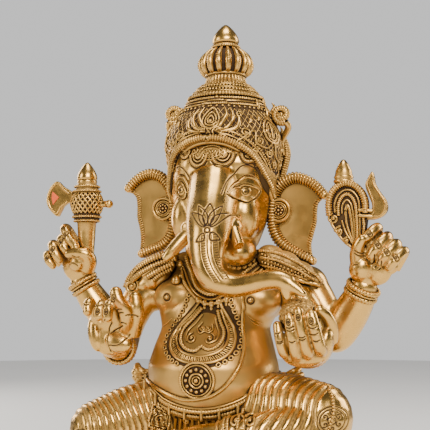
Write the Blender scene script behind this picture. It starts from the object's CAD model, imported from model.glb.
"""Finished looks of a seated, four-armed, elephant-headed brass figure on a lotus seat.

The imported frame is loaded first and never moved.  Each operator below casts, chases and
polishes one group of pieces around it, the way a brass foundry would: a wax is gathered from
round shapes, fused, chased with engraved lines, and dressed with cords, beads and scrolls.
Shapes are worked in millimetres and settled into metres when a piece is finished.
"""

import math

import bmesh
import bpy
import numpy as np
from bpy.props import FloatProperty, FloatVectorProperty, IntProperty, PointerProperty
from mathutils import Euler, Matrix, Vector
from mathutils.bvhtree import BVHTree
from mathutils.kdtree import KDTree


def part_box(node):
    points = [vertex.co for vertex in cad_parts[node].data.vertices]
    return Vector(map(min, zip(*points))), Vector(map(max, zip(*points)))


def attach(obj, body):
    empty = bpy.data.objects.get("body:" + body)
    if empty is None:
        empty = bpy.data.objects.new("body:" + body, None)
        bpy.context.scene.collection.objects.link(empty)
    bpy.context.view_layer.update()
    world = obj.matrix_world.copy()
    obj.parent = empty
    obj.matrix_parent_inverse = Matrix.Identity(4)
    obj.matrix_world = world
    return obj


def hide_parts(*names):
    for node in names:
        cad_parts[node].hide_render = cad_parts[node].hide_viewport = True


bl_info = {
    "name": "Brass elephant-headed figure",
    "version": (1, 0, 0),
    "blender": (4, 5, 0),
    "location": "3D View > Sidebar > Brass figure",
    "description": "Casts, chases and polishes the visible pieces of a seated brass figure",
    "category": "Mesh",
}

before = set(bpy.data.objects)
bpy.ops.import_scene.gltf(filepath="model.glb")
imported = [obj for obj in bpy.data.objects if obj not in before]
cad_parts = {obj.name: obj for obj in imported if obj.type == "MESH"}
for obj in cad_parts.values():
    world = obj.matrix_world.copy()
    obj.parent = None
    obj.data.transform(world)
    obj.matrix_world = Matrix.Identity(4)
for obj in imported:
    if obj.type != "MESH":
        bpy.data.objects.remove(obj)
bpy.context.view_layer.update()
MM = 0.001
BODY = "root"
FAR = 99.0  # millimetres, past the reach of any engraved line


# ------------------------------------------------------------------ settings
class FinishSettings(bpy.types.PropertyGroup):
    """Colours and polish of the brass."""

    brass: FloatVectorProperty(
        name="Brass", description="Colour of the polished brass", subtype="COLOR",
        size=3, min=0, max=1, default=(0.80, 0.470, 0.118),
    )
    honey: FloatVectorProperty(
        name="Honey brass", description="Warmer brass where the polish has worn less",
        subtype="COLOR", size=3, min=0, max=1, default=(0.55, 0.310, 0.085),
    )
    patina: FloatVectorProperty(
        name="Patina", description="Dark brown that stays in recesses and engraved lines",
        subtype="COLOR", size=3, min=0, max=1, default=(0.020, 0.008, 0.003),
    )
    lacquer: FloatVectorProperty(
        name="Lacquer", description="Faint red left by ritual powder", subtype="COLOR",
        size=3, min=0, max=1, default=(0.62, 0.10, 0.03),
    )
    polish: FloatProperty(
        name="Polish", description="Roughness of the best polished skin",
        subtype="FACTOR", min=0.02, max=1, default=0.24,
    )
    reach: FloatProperty(
        name="Recess reach", description="Width of gap in which patina still collects",
        subtype="DISTANCE", unit="LENGTH", min=0.0005, max=0.02, default=0.0030,
    )


class ChasingSettings(bpy.types.PropertyGroup):
    """Sizes of the engraved and applied work."""

    line: FloatProperty(
        name="Line width", description="Half width of an engraved line",
        subtype="DISTANCE", unit="LENGTH", min=0.0002, max=0.003, default=0.0008,
    )
    cut: FloatProperty(
        name="Line depth", description="Depth of an engraved line",
        subtype="DISTANCE", unit="LENGTH", min=0.0001, max=0.003, default=0.0008,
    )
    skin: FloatProperty(
        name="Skin grain", description="Edge length of the fused skins",
        subtype="DISTANCE", unit="LENGTH", min=0.0006, max=0.005, default=0.0013,
    )
    lobes: IntProperty(
        name="Dome lobes", description="Lobes of the melon dome", min=6, max=32, default=16,
    )
    flutes: IntProperty(
        name="Neck flutes", description="Flutes of the crown's neck", min=12, max=60, default=34,
    )
    petals: IntProperty(
        name="Seat petals", description="Lotus petals round the seat", min=12, max=48, default=26,
    )


class StageSettings(bpy.types.PropertyGroup):
    """Floor, light and camera."""

    floor: FloatVectorProperty(
        name="Floor", description="Colour of the plain floor", subtype="COLOR",
        size=3, min=0, max=1, default=(0.74, 0.73, 0.71),
    )
    key: FloatProperty(
        name="Key light", description="Power of the largest soft light",
        unit="POWER", min=0, max=500, default=16,
    )
    azimuth: FloatProperty(
        name="Azimuth", description="Camera's turn round the figure from its front",
        subtype="ANGLE", unit="ROTATION", default=math.radians(17),
    )
    elevation: FloatProperty(
        name="Elevation", description="Camera's height above the level, below it if negative",
        subtype="ANGLE", unit="ROTATION", default=math.radians(-5),
    )
    distance: FloatProperty(
        name="Distance", description="Camera to the middle of the view",
        subtype="DISTANCE", unit="LENGTH", min=0.1, default=0.950,
    )
    width: FloatProperty(
        name="View width", description="Width of the view at that distance",
        subtype="DISTANCE", unit="LENGTH", min=0.05, default=0.430,
    )


# ------------------------------------------------------------------ wax: gathering shapes
def span(node):
    """Lowest and highest corner of a CAD node in millimetres."""
    low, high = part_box(node)
    return np.array(low) / MM, np.array(high) / MM


def smooth_path(stations, per_span=6, closed=False):
    """A smooth curve through stations; each further column, such as a radius, runs along."""
    p = np.asarray(stations, float)
    if closed:
        p = np.vstack([p[-1:], p, p[:2]])
    else:
        p = np.vstack([2 * p[:1] - p[1:2], p, 2 * p[-1:] - p[-2:-1]])
    t = np.linspace(0, 1, per_span, endpoint=False)[:, None]
    spans = [
        0.5 * (2 * b + (c - a) * t + (2 * a - 5 * b + 4 * c - d) * t**2
               + (3 * b - a - 3 * c + d) * t**3)
        for a, b, c, d in zip(p, p[1:], p[2:], p[3:])
    ]
    if not closed:
        spans.append(p[-2:-1])
    return np.vstack(spans)


def even_path(path, step, closed=False):
    """The same curve with its points a step apart."""
    path = np.asarray(path, float)
    if closed:
        path = np.vstack([path, path[:1]])
    lengths = np.linalg.norm(np.diff(path[:, :3], axis=0), axis=1)
    along = np.concatenate([[0], np.cumsum(lengths)])
    count = max(2, int(round(along[-1] / step)) + 1)
    stops = np.linspace(0, along[-1], count)
    if closed:
        stops = stops[:-1]
    return np.column_stack([np.interp(stops, along, column) for column in path.T])


def ribbed(path, radius, pitch, depth=0.18):
    """A path whose radius column swells and shrinks like the ribs of a twisted cord."""
    path = even_path(np.asarray(path, float)[:, :3], pitch / 6)
    along = np.concatenate([[0], np.cumsum(np.linalg.norm(np.diff(path, axis=0), axis=1))])
    swell = radius * (1 - depth + depth * np.abs(np.sin(math.pi * along / pitch)) * 2)
    return np.column_stack([path, swell])


def tube_mesh(paths, radius, closed=False, sides=2):
    """Mesh of round cords along paths; a path's fourth column is its own radius."""
    curve = bpy.data.curves.new("cords", "CURVE")
    curve.dimensions = "3D"
    curve.bevel_depth = 1.0
    curve.bevel_resolution = sides
    curve.use_fill_caps = True
    for path in paths:
        path = np.asarray(path, float)
        spline = curve.splines.new("POLY")
        spline.points.add(len(path) - 1)
        spline.points.foreach_set(
            "co", np.column_stack([path[:, :3], np.ones(len(path))]).ravel()
        )
        radii = path[:, 3] if path.shape[1] > 3 else np.full(len(path), radius)
        spline.points.foreach_set("radius", radii)
        spline.use_cyclic_u = closed
    cords = bpy.data.objects.new("cords", curve)
    mesh = bpy.data.meshes.new_from_object(cords)
    bpy.data.objects.remove(cords)
    bpy.data.curves.remove(curve)
    return mesh


class Wax:
    """A gathering of shapes in millimetres that becomes one piece."""

    def __init__(self):
        self.bm = bmesh.new()

    def ball(self, centre, radii, turn=(0, 0, 0), segments=20):
        """Adds a ball, or an egg if its three radii differ, turned by degrees about X, Y, Z."""
        radii = (radii,) * 3 if np.isscalar(radii) else radii
        place = Matrix.LocRotScale(
            Vector(centre), Euler([math.radians(a) for a in turn]), Vector(radii)
        )
        bmesh.ops.create_uvsphere(
            self.bm, u_segments=segments, v_segments=max(4, segments // 2), radius=1, matrix=place
        )
        return self

    def beads(self, points, radius, segments=8):
        """Adds small round beads at points."""
        strung = bmesh.new()
        for point in points:
            place = Matrix.Translation(Vector(point[:3]))
            bmesh.ops.create_uvsphere(
                strung, u_segments=segments, v_segments=5, radius=radius, matrix=place
            )
        mesh = bpy.data.meshes.new("beads")
        strung.to_mesh(mesh)
        strung.free()
        self.bm.from_mesh(mesh)
        bpy.data.meshes.remove(mesh)
        return self

    def cords(self, paths, radius=1.0, closed=False, sides=2):
        """Adds round cords along paths."""
        mesh = tube_mesh(paths, radius, closed, sides)
        self.bm.from_mesh(mesh)
        bpy.data.meshes.remove(mesh)
        return self

    def cord(self, path, radius, pitch=0, depth=0.18, sides=2):
        """Adds one round cord, ribbed like twisted wire if it has a pitch."""
        return self.cords([ribbed(path, radius, pitch, depth) if pitch else path], radius, sides=sides)

    def sheet(self, loops):
        """Adds a thin sheet through closed loops of equally many points."""
        rows = [[self.bm.verts.new(spot) for spot in loop] for loop in loops]
        count = min(len(row) for row in rows)
        for inner, outer in zip(rows, rows[1:]):
            for i in range(count):
                j = (i + 1) % count
                self.bm.faces.new((inner[i], outer[i], outer[j], inner[j]))
        bmesh.ops.recalc_face_normals(self.bm, faces=self.bm.faces)
        return self

    def rings(self, sections, segments=48):
        """Adds a skin through level ovals given as (height, x, y, half width, half depth)."""
        edges = []
        for height, x, y, half_width, half_depth in sections:
            place = Matrix.LocRotScale(
                Vector((x, y, height)), None, Vector((half_width, half_depth, 1))
            )
            made = bmesh.ops.create_circle(
                self.bm, cap_ends=False, radius=1, segments=segments, matrix=place
            )
            loop = list({e for v in made["verts"] for e in v.link_edges})
            if edges:
                bmesh.ops.bridge_loops(self.bm, edges=edges[-1] + loop)
            edges.append(loop)
        bmesh.ops.contextual_create(self.bm, geom=edges[0])
        bmesh.ops.contextual_create(self.bm, geom=edges[-1])
        return self

    def turned(self, profile, centre, steps=96):
        """Adds a profile of (radius, height) points spun once round an upright axis."""
        verts = [
            self.bm.verts.new((centre[0] + radius, centre[1], height))
            for radius, height in profile
        ]
        edges = [self.bm.edges.new(pair) for pair in zip(verts, verts[1:])]
        bmesh.ops.spin(
            self.bm, geom=verts + edges, cent=(centre[0], centre[1], 0), axis=(0, 0, 1),
            angle=2 * math.pi, steps=steps, use_merge=True, use_duplicate=False,
        )
        bmesh.ops.remove_doubles(self.bm, verts=self.bm.verts, dist=1e-4)
        bmesh.ops.recalc_face_normals(self.bm, faces=self.bm.faces)
        return self

    def add(self, other):
        """Adds a mesh."""
        self.bm.from_mesh(other)
        return self

    def mesh(self):
        """The gathered shapes as one mesh."""
        made = bpy.data.meshes.new("wax")
        self.bm.to_mesh(made)
        self.bm.free()
        return made

    def fused(self, grain, rounds=4):
        """The gathered shapes melted into one closed skin and smoothed."""
        blank = bpy.data.objects.new("wax", self.mesh())
        bpy.context.scene.collection.objects.link(blank)
        remesh = blank.modifiers.new("melt", "REMESH")
        remesh.mode = "VOXEL"
        remesh.voxel_size = grain
        smooth = blank.modifiers.new("smooth", "SMOOTH")
        smooth.factor = 0.5
        smooth.iterations = rounds
        bpy.context.view_layer.update()
        graph = bpy.context.evaluated_depsgraph_get()
        made = bpy.data.meshes.new_from_object(blank.evaluated_get(graph))
        wax = blank.data
        bpy.data.objects.remove(blank)
        bpy.data.meshes.remove(wax)
        return made


# ------------------------------------------------------------------ chasing: working a skin
def points_of(mesh):
    """Vertex places and normals of a mesh as arrays."""
    count = len(mesh.vertices)
    places = np.empty(count * 3)
    mesh.vertices.foreach_get("co", places)
    normals = np.empty(count * 3)
    mesh.vertices.foreach_get("normal", normals)
    return places.reshape(-1, 3), normals.reshape(-1, 3)


def worked(mesh, lift, patina=None):
    """Moves each vertex along its normal by lift, and records how dark its patina is."""
    places, normals = points_of(mesh)
    mesh.vertices.foreach_set("co", (places + normals * np.asarray(lift)[:, None]).ravel())
    if patina is not None:
        layer = mesh.attributes.get("patina") or mesh.attributes.new("patina", "FLOAT", "POINT")
        dark = np.empty(len(mesh.vertices))
        layer.data.foreach_get("value", dark)
        layer.data.foreach_set("value", np.maximum(dark, patina))
    mesh.update()
    return mesh


def weathered(mesh, strength=4.6, threshold=0.03):
    """Records how dark patina lies in the hollows of a mesh, from how its edges bend inward."""
    if not mesh.edges:
        return mesh
    places, normals = points_of(mesh)
    ends = np.empty(len(mesh.edges) * 2, np.int32)
    mesh.edges.foreach_get("vertices", ends)
    first, second = ends.reshape(-1, 2).T
    along = places[second] - places[first]
    along /= np.maximum(np.linalg.norm(along, axis=1), 1e-9)[:, None]
    count = len(places)
    share = np.maximum(np.bincount(ends, minlength=count), 1)
    rise = np.bincount(first, np.einsum("ij,ij->i", normals[first], along), count)
    rise -= np.bincount(second, np.einsum("ij,ij->i", normals[second], along), count)
    dark = np.clip((rise / share - threshold) * strength, 0, 0.85)
    spread = np.bincount(first, dark[second], count) + np.bincount(second, dark[first], count)
    return worked(mesh, np.zeros(count), 0.5 * dark + 0.5 * spread / share)


def distance_to(places, paths):
    """Distance from each place to the nearest point of the paths."""
    marks = np.vstack([np.asarray(path)[:, :3] for path in paths])
    tree = KDTree(len(marks))
    for index, mark in enumerate(marks):
        tree.insert(mark, index)
    tree.balance()
    margin = 6.0
    near = np.all((places > marks.min(0) - margin) & (places < marks.max(0) + margin), axis=1)
    distance = np.full(len(places), FAR)
    distance[near] = [tree.find(place)[2] for place in places[near]]
    return distance


def refined(mesh, paths, reach, size):
    """Splits the faces beside the paths until their edges are about a size long."""
    bm = bmesh.new()
    bm.from_mesh(mesh)
    for _ in range(2):
        bm.verts.ensure_lookup_table()
        places = np.array([v.co for v in bm.verts])
        close = distance_to(places, paths) < reach
        edges = [
            e for e in bm.edges
            if (close[e.verts[0].index] or close[e.verts[1].index]) and e.calc_length() > size
        ]
        if not edges:
            break
        bmesh.ops.subdivide_edges(bm, edges=edges, cuts=1, use_grid_fill=True)
        bmesh.ops.triangulate(bm, faces=[f for f in bm.faces if len(f.verts) > 4])
        bm.verts.index_update()
    bm.normal_update()
    bm.to_mesh(mesh)
    bm.free()
    return mesh


def engraved(mesh, paths, width, depth, size=None):
    """Cuts thin lines into a skin along paths and lets patina fill them."""
    paths = [even_path(path, width * 0.6) for path in paths]
    if size:
        mesh = refined(mesh, paths, width * 2.5, size)
    places, _ = points_of(mesh)
    cut = np.exp(-((distance_to(places, paths) / width) ** 2))
    return worked(mesh, -depth * cut, np.clip(cut * 1.9, 0, 1))


class Skin:
    """A surface that curves and ornaments are laid on, in millimetres."""

    front = -400  # y from which rays are cast backward, in front of every piece
    outside = 300  # distance from an axis at which rays are cast inward

    def __init__(self, *meshes):
        verts = []
        faces = []
        for mesh in meshes:
            start = len(verts)
            verts.extend(v.co.copy() for v in mesh.vertices)
            faces.extend([start + i for i in face.vertices] for face in mesh.polygons)
        self.tree = BVHTree.FromPolygons(verts, faces)

    def cast(self, start, toward):
        """First place and normal that a ray meets, or None twice."""
        place, normal, _, _ = self.tree.ray_cast(Vector(start), Vector(toward).normalized())
        return place, normal

    def from_front(self, points, lift=0.0):
        """Places on the skin straight behind (x, z) points; misses are left out."""
        found = []
        for point in points:
            place, normal = self.cast((point[0], self.front, point[1]), (0, 1, 0))
            if place is not None:
                found.append((*(place + normal * lift), *point[2:]))
        return np.array(found)

    def from_round(self, points, axis, lift=0.0):
        """Places on the skin at (bearing, height) points round an upright axis."""
        found = []
        for point in points:
            turn = math.radians(point[0])
            out = Vector((math.sin(turn), -math.cos(turn), 0))
            start = Vector((axis[0], axis[1], point[1])) + out * self.outside
            place, normal = self.cast(start, -out)
            if place is not None:
                found.append((*(place + normal * lift), *point[2:]))
        return np.array(found)

    def nearest(self, points, lift=0.0):
        """Places on the skin nearest to points."""
        found = []
        for point in points:
            place, normal, _, _ = self.tree.find_nearest(Vector(point[:3]))
            found.append((*(place + normal * lift), *point[3:]))
        return np.array(found)


def node_mesh(*nodes):
    """A merged copy of CAD nodes' meshes, in millimetres."""
    bm = bmesh.new()
    for node in nodes:
        bm.from_mesh(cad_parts[node].data)
    bmesh.ops.scale(bm, vec=(1 / MM,) * 3, verts=bm.verts)
    bmesh.ops.remove_doubles(bm, verts=bm.verts, dist=1e-3)
    made = bpy.data.meshes.new("node")
    bm.to_mesh(made)
    bm.free()
    return made


# ------------------------------------------------------------------ finishes
class Value:
    """A shader socket that adds Math nodes when it is used in an expression."""

    def __init__(self, tree, socket):
        self.tree = tree
        self.socket = socket

    def _math(self, operation, *operands, clamp=False):
        node = self.tree.nodes.new("ShaderNodeMath")
        node.operation = operation
        node.use_clamp = clamp
        for index, operand in enumerate(operands):
            if isinstance(operand, Value):
                self.tree.links.new(operand.socket, node.inputs[index])
            else:
                node.inputs[index].default_value = operand
        return Value(self.tree, node.outputs[0])

    def __add__(self, other):
        return self._math("ADD", self, other)

    def __radd__(self, other):
        return self._math("ADD", other, self)

    def __sub__(self, other):
        return self._math("SUBTRACT", self, other)

    def __rsub__(self, other):
        return self._math("SUBTRACT", other, self)

    def __mul__(self, other):
        return self._math("MULTIPLY", self, other)

    def clamped(self):
        """The value kept between 0 and 1."""
        return self._math("ADD", self, 0.0, clamp=True)

    def over(self, other):
        """The larger of this value and another."""
        return self._math("MAXIMUM", self, other)


class Finish:
    """One node material under construction."""

    def __init__(self, name):
        self.material = bpy.data.materials.new(name)
        self.material.use_nodes = True
        self.tree = self.material.node_tree
        self.tree.nodes.clear()
        output = self.tree.nodes.new("ShaderNodeOutputMaterial")
        self.shader = self.tree.nodes.new("ShaderNodeBsdfPrincipled")
        self.tree.links.new(self.shader.outputs["BSDF"], output.inputs["Surface"])

    def node(self, kind, settings=None, **sockets):
        """Any node: its settings first, then the values or links of its sockets."""
        node = self.tree.nodes.new(kind)
        for key, value in (settings or {}).items():
            setattr(node, key, value)
        for key, value in sockets.items():
            self.feed(node.inputs[key.replace("_", " ")], value)
        return node

    def feed(self, socket, value):
        """Sets a socket to a number or colour, or links it to another socket."""
        if isinstance(value, Value):
            value = value.socket
        if isinstance(value, bpy.types.NodeSocket):
            self.tree.links.new(value, socket)
        else:
            socket.default_value = value

    def value(self, node, output=0):
        """A node's output as a Value."""
        return Value(self.tree, node.outputs[output])

    def blend(self, share, first, second):
        """Two colours mixed by a share."""
        mix = self.node("ShaderNodeMix", {"data_type": "RGBA"}, Factor=share)
        self.feed(mix.inputs[6], first)
        self.feed(mix.inputs[7], second)
        return mix.outputs[2]

    def noise(self, where, scale, detail=3.0, roughness=0.5):
        """A noise value at Object coordinates."""
        return self.value(self.node(
            "ShaderNodeTexNoise", None, Vector=where, Scale=scale, Detail=detail,
            Roughness=roughness,
        ))

    def set(self, **sockets):
        """Sets or links the surface shader's own sockets."""
        for key, value in sockets.items():
            self.feed(self.shader.inputs[key.replace("_", " ")], value)


def stepped(value, low, high):
    """A value spread so that low becomes 0 and high becomes 1, kept in that range."""
    return ((value - low) * (1.0 / (high - low))).clamped()


def rgba(colour):
    """A colour property with full alpha."""
    return (*colour, 1.0)


def brass_finish(name, ground=0.0, grain=0.0, polish=1.0, warmth=0.0, tint=0.0):
    """Cast brass: polished high places, honey tones between, patina in every recess.

    ground darkens the whole piece, grain stipples it, polish scales its roughness, warmth
    moves it to the honey colour, and tint adds traces of red powder.
    """
    look = bpy.context.scene.figure_finish
    made = Finish(name)
    where = made.node("ShaderNodeTexCoord").outputs["Object"]
    engraved_dark = made.value(
        made.node("ShaderNodeAttribute", {"attribute_name": "patina"}), "Fac"
    )
    tight = made.value(made.node(
        "ShaderNodeAmbientOcclusion", {"samples": 6}, Distance=look.reach
    ), "AO")
    wide = made.value(made.node(
        "ShaderNodeAmbientOcclusion", {"samples": 6}, Distance=look.reach * 9
    ), "AO")
    cloud = made.noise(where, 26.0, 4.0, 0.6)
    speck = made.noise(where, 420.0, 3.0, 0.65)
    recess = stepped(1.0 - tight, 0.18, 0.62)
    shade = stepped(1.0 - wide, 0.30, 0.90)
    dark = (recess * 1.25 + shade * 0.5 + stepped(speck, 0.60, 0.80) * shade * 0.5 + ground)
    dark = dark.over(engraved_dark).clamped()
    honey = (stepped(cloud, 0.42, 0.66) * 0.35 + shade * 0.6 + recess * 0.3 + warmth).clamped()
    colour = made.blend(honey, rgba(look.brass), rgba(look.honey))
    if tint:
        powder = stepped(made.noise(where, 34.0, 2.0), 0.66, 0.72)
        colour = made.blend(powder * tint, colour, rgba(look.lacquer))
    colour = made.blend(dark, colour, rgba(look.patina))
    smudge = made.noise(where, 90.0, 4.0, 0.6)
    rough = (look.polish * polish + stepped(smudge, 0.40, 0.75) * 0.12 + dark * 0.38
             + honey * 0.05).clamped()
    height = made.noise(where, 900.0, 2.0, 0.5) * 0.25 + made.noise(where, 140.0, 3.0) * 0.75
    relief = 0.00022
    if grain:
        cells = made.value(made.node(
            "ShaderNodeTexVoronoi", {"feature": "F1"}, Vector=where, Scale=620.0
        ), "Distance")
        height = height + cells * grain
        relief = 0.0009
    bump = made.node(
        "ShaderNodeBump", None, Strength=0.35, Distance=relief, Height=height
    )
    made.set(
        Base_Color=colour, Metallic=(1.0 - dark * 0.9).clamped(), Roughness=rough,
        Normal=bump.outputs["Normal"], Specular_IOR_Level=0.18,
    )
    return made.material


def steel_finish():
    """Zinc-plated steel of the hidden bolts."""
    made = Finish("bolt_steel")
    where = made.node("ShaderNodeTexCoord").outputs["Object"]
    cloud = made.noise(where, 180.0, 3.0)
    colour = made.blend(cloud, (0.42, 0.43, 0.45, 1.0), (0.62, 0.62, 0.60, 1.0))
    made.set(Base_Color=colour, Metallic=1.0, Roughness=(0.28 + cloud * 0.2))
    return made.material


FINISHES = {
    # name: how brass_finish is called for it
    "skin_brass": {"tint": 0.22},
    "jewel_brass": {"ground": 0.06, "polish": 1.0, "warmth": 0.15},
    "mesh_ground_brass": {"ground": 0.93, "grain": 0.8, "warmth": 0.6},
    "pleat_brass": {"polish": 0.9},
    "stippled_brass": {"ground": 0.22, "grain": 2.0, "polish": 1.3, "warmth": 0.35},
    "cast_base_brass": {"ground": 0.05, "polish": 1.2, "warmth": 0.2},
    "ear_brass": {"polish": 1.35, "warmth": 0.30, "tint": 0.15},
    "belly_brass": {"ground": 0.14, "warmth": 0.30, "tint": 0.15},
    "worn_ground_brass": {"ground": 0.40, "grain": 0.8, "warmth": 0.4},
}


def powder_finish():
    """Red ritual powder caught on the brass."""
    made = Finish("powder_red")
    where = made.node("ShaderNodeTexCoord").outputs["Object"]
    cloud = made.noise(where, 260.0, 4.0, 0.6)
    colour = made.blend(cloud, (0.70, 0.05, 0.01, 1.0), (0.75, 0.14, 0.02, 1.0))
    made.set(Base_Color=colour, Metallic=0.15, Roughness=(0.55 + cloud * 0.2))
    return made.material


def finish_named(name):
    """A finish by name, made when it is first asked for."""
    found = bpy.data.materials.get(name)
    if found is None:
        special = {"bolt_steel": steel_finish, "powder_red": powder_finish}
        found = special[name]() if name in special else brass_finish(name, **FINISHES[name])
    return found


def piece(name, shape, finish, replaces=()):
    """Settles a mesh or a wax in metres as one finished piece that rides on the figure."""
    mesh = weathered(shape.mesh() if isinstance(shape, Wax) else shape)
    mesh.transform(Matrix.Scale(MM, 4))
    mesh.name = name
    mesh.shade_smooth()
    mesh.materials.clear()
    mesh.materials.append(finish_named(finish))
    made = bpy.data.objects.new(name, mesh)
    bpy.context.scene.collection.objects.link(made)
    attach(made, BODY)
    if replaces:
        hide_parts(*replaces)
    return made


def dress_node(node, finish):
    """Gives a CAD node that stays visible its finish."""
    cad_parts[node].data.materials.clear()
    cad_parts[node].data.materials.append(finish_named(finish))


# ------------------------------------------------------------------ body and head
CROWN_AXIS = (0.0, 3.0)  # x and y of the upright axis of the crown
SEAT_TOP = span("seat_slab")[1][2]
# level ovals of the torso and the head (height, x, y, half width, half depth)
TORSO_SECTIONS = [
    (SEAT_TOP, -3, -14, 52, 46), (104, -3, -15, 57, 51), (124, -4, -18, 61, 58),
    (144, -5, -20, 64, 62), (160, -6, -20, 63, 62), (178, -6, -17, 58, 56), (195, -6, -12, 53, 47),
    (213, -4, -7, 61, 45), (231, -2, -3, 71, 41), (246, 0, 1, 66, 34), (258, 1, 0, 46, 28),
    (270, 2, -2, 34, 26),
]
HEAD_SECTIONS = [
    (262, 2, -14, 25, 25), (276, 2, -18, 36, 35), (294, 1, -17, 44, 42), (312, 0, -14, 48, 45),
    (332, 0, -10, 50, 48), (352, 0, -8, 51, 50), (376, 0, -5, 47, 47), (396, 0, -2, 36, 36),
]
# stations (x, y, z, radius) of the trunk and of the two lips at its tip
TRUNK = [
    (3, -44, 334, 24), (5, -56, 318, 24), (7, -72, 298, 22.5), (9, -85, 279, 19.5),
    (10, -93, 262, 15.8), (14, -97.5, 247, 13.2), (24, -99.5, 237.5, 11.6), (38, -100, 234, 10.3),
    (52, -101, 235.5, 9.4), (66, -102, 238.5, 8.9), (79, -103, 239, 8.6), (90, -104, 234.5, 7.8),
]
TRUNK_UPPER_LIP = [(86, -104, 236, 7.5), (95, -106, 231, 5.2), (103, -108, 225, 2.6)]
TRUNK_LOWER_LIP = [(84, -103, 235, 7), (86, -104, 227, 4.6), (87, -105, 221, 2.4)]
NIPPLES = ((-45, 224), (38, 221))
# (x, z) outlines laid on the face from the front; the figure's right eye, then its left eye
EYES = (
    {
        "opening": [(-36, 330), (-31, 334), (-26, 330), (-23, 322), (-26, 318), (-31, 320), (-35, 325)],
        "lid": [(-38, 331), (-33, 339), (-26, 338), (-21, 329), (-20, 320)],
        "brow": [(-42, 341), (-36, 348), (-29, 348), (-22, 341), (-16, 330), (-13, 321)],
        "ball": (-29, 326), "size": (5.0, 5.2),
    },
    {
        "opening": [(25, 320), (28, 326), (33, 329.5), (39, 328.5), (43.5, 325), (41, 319),
            (36.5, 314), (31, 315), (27, 317)],
        "lid": [(24, 318), (27, 330), (34, 337), (41, 335), (45, 328)],
        "brow": [(20, 318), (22, 332), (27, 343), (34, 348), (41, 346), (46, 337)],
        "ball": (34, 323), "size": (5.6, 5.2),
    },
)


# centre x, half width, top z and bottom z of each scallop of the frill over the forehead
SCALLOPS = (
    (-25, 5.5, 364, 356), (-10, 9.5, 359, 346.5), (14, 11.0, 359, 346.5), (36, 6.5, 362, 350.5),
)


def lens_outline(base, tip, half_width, bend=0.0, steps=10):
    """Both edges of a leaf-shaped petal between two (x, z) points, bent sideways by bend."""
    base, tip = np.array(base, float), np.array(tip, float)
    along = tip - base
    across = np.array((-along[1], along[0])) / np.linalg.norm(along)
    t = np.linspace(0, 1, steps)[:, None]
    spine = base + along * t + across * bend * np.sin(math.pi * t)
    swell = across * half_width * np.sin(math.pi * t**0.8) ** 0.9
    return [spine + swell, spine - swell]


def circle(centre, radius, steps=24):
    """A closed ring of (x, z) points."""
    turn = np.linspace(0, 2 * math.pi, steps + 1)
    return np.column_stack([centre[0] + radius * np.cos(turn), centre[1] + radius * np.sin(turn)])


def spiral(centre, radius, start, turns, steps=30, inner=0.12):
    """A scroll of (x, z) points winding in from a start angle in degrees."""
    share = np.linspace(0, 1, steps)
    turn = math.radians(start) + share * turns * 2 * math.pi
    reach = radius * (1 - (1 - inner) * share)
    return np.column_stack([centre[0] + reach * np.cos(turn), centre[1] + reach * np.sin(turn)])


def hatches(edge, other, step):
    """Short strokes from one (x, z) curve toward another, a step apart."""
    edge = even_path(edge, step)
    other = even_path(other, np.linalg.norm(np.diff(other, axis=0), axis=1).sum() / (len(edge) - 1))
    count = min(len(edge), len(other))
    return [np.linspace(a, b, 4) for a, b in zip(edge[:count], other[:count])]


def scallop(middle, half_width, top, bottom, share, steps):
    """The lower edge of a scallop of the forehead's frill, drawn in by a share, as (x, z)."""
    swing = np.linspace(math.pi, 2 * math.pi, steps)
    return np.column_stack([
        middle + half_width * share * np.cos(swing), top + (top - bottom) * share * np.sin(swing),
    ])


class FIGURE_OT_torso(bpy.types.Operator):
    """Casts the torso with its soft chest and round belly"""

    bl_idname = "figure.torso"
    bl_label = "Cast the torso"

    def execute(self, context):
        chasing = context.scene.figure_chasing
        wax = Wax().rings(TORSO_SECTIONS)
        wax.ball((-39, -23, 224), (27, 24, 19)).ball((36, -23, 222), (27, 24, 19))
        wax.ball((-6, -26, 148), (60, 55, 46)).ball((2, -4, 262), (33, 27, 22))
        wax.ball((-36, -10, 258), (16, 16, 12))
        for hand in (-1, 1):
            wax.ball((hand * 74, 5, 239), (19, 18, 17), (0, hand * 30, 0))
            wax.ball((hand * 30 - 3, 6, 112), (31, 34, 25))
            wax.ball((hand * 34, 18, 226), (26, 18, 26))
        skin = wax.fused(chasing.skin / MM * 1.15, 34)
        chest = Skin(skin)
        rims = [chest.from_front(circle(spot, 3.4)) for spot in NIPPLES]
        skin = engraved(skin, rims, 0.8, 0.9, 0.8)
        piece("torso_skin", skin, "belly_brass", ["torso"])
        tips = Wax()
        for spot in NIPPLES:
            place = chest.from_front([spot], 0.2)[0]
            tips.ball(place, 2.3, segments=14)
        piece("chest_points", tips, "skin_brass")
        return {"FINISHED"}


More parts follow.
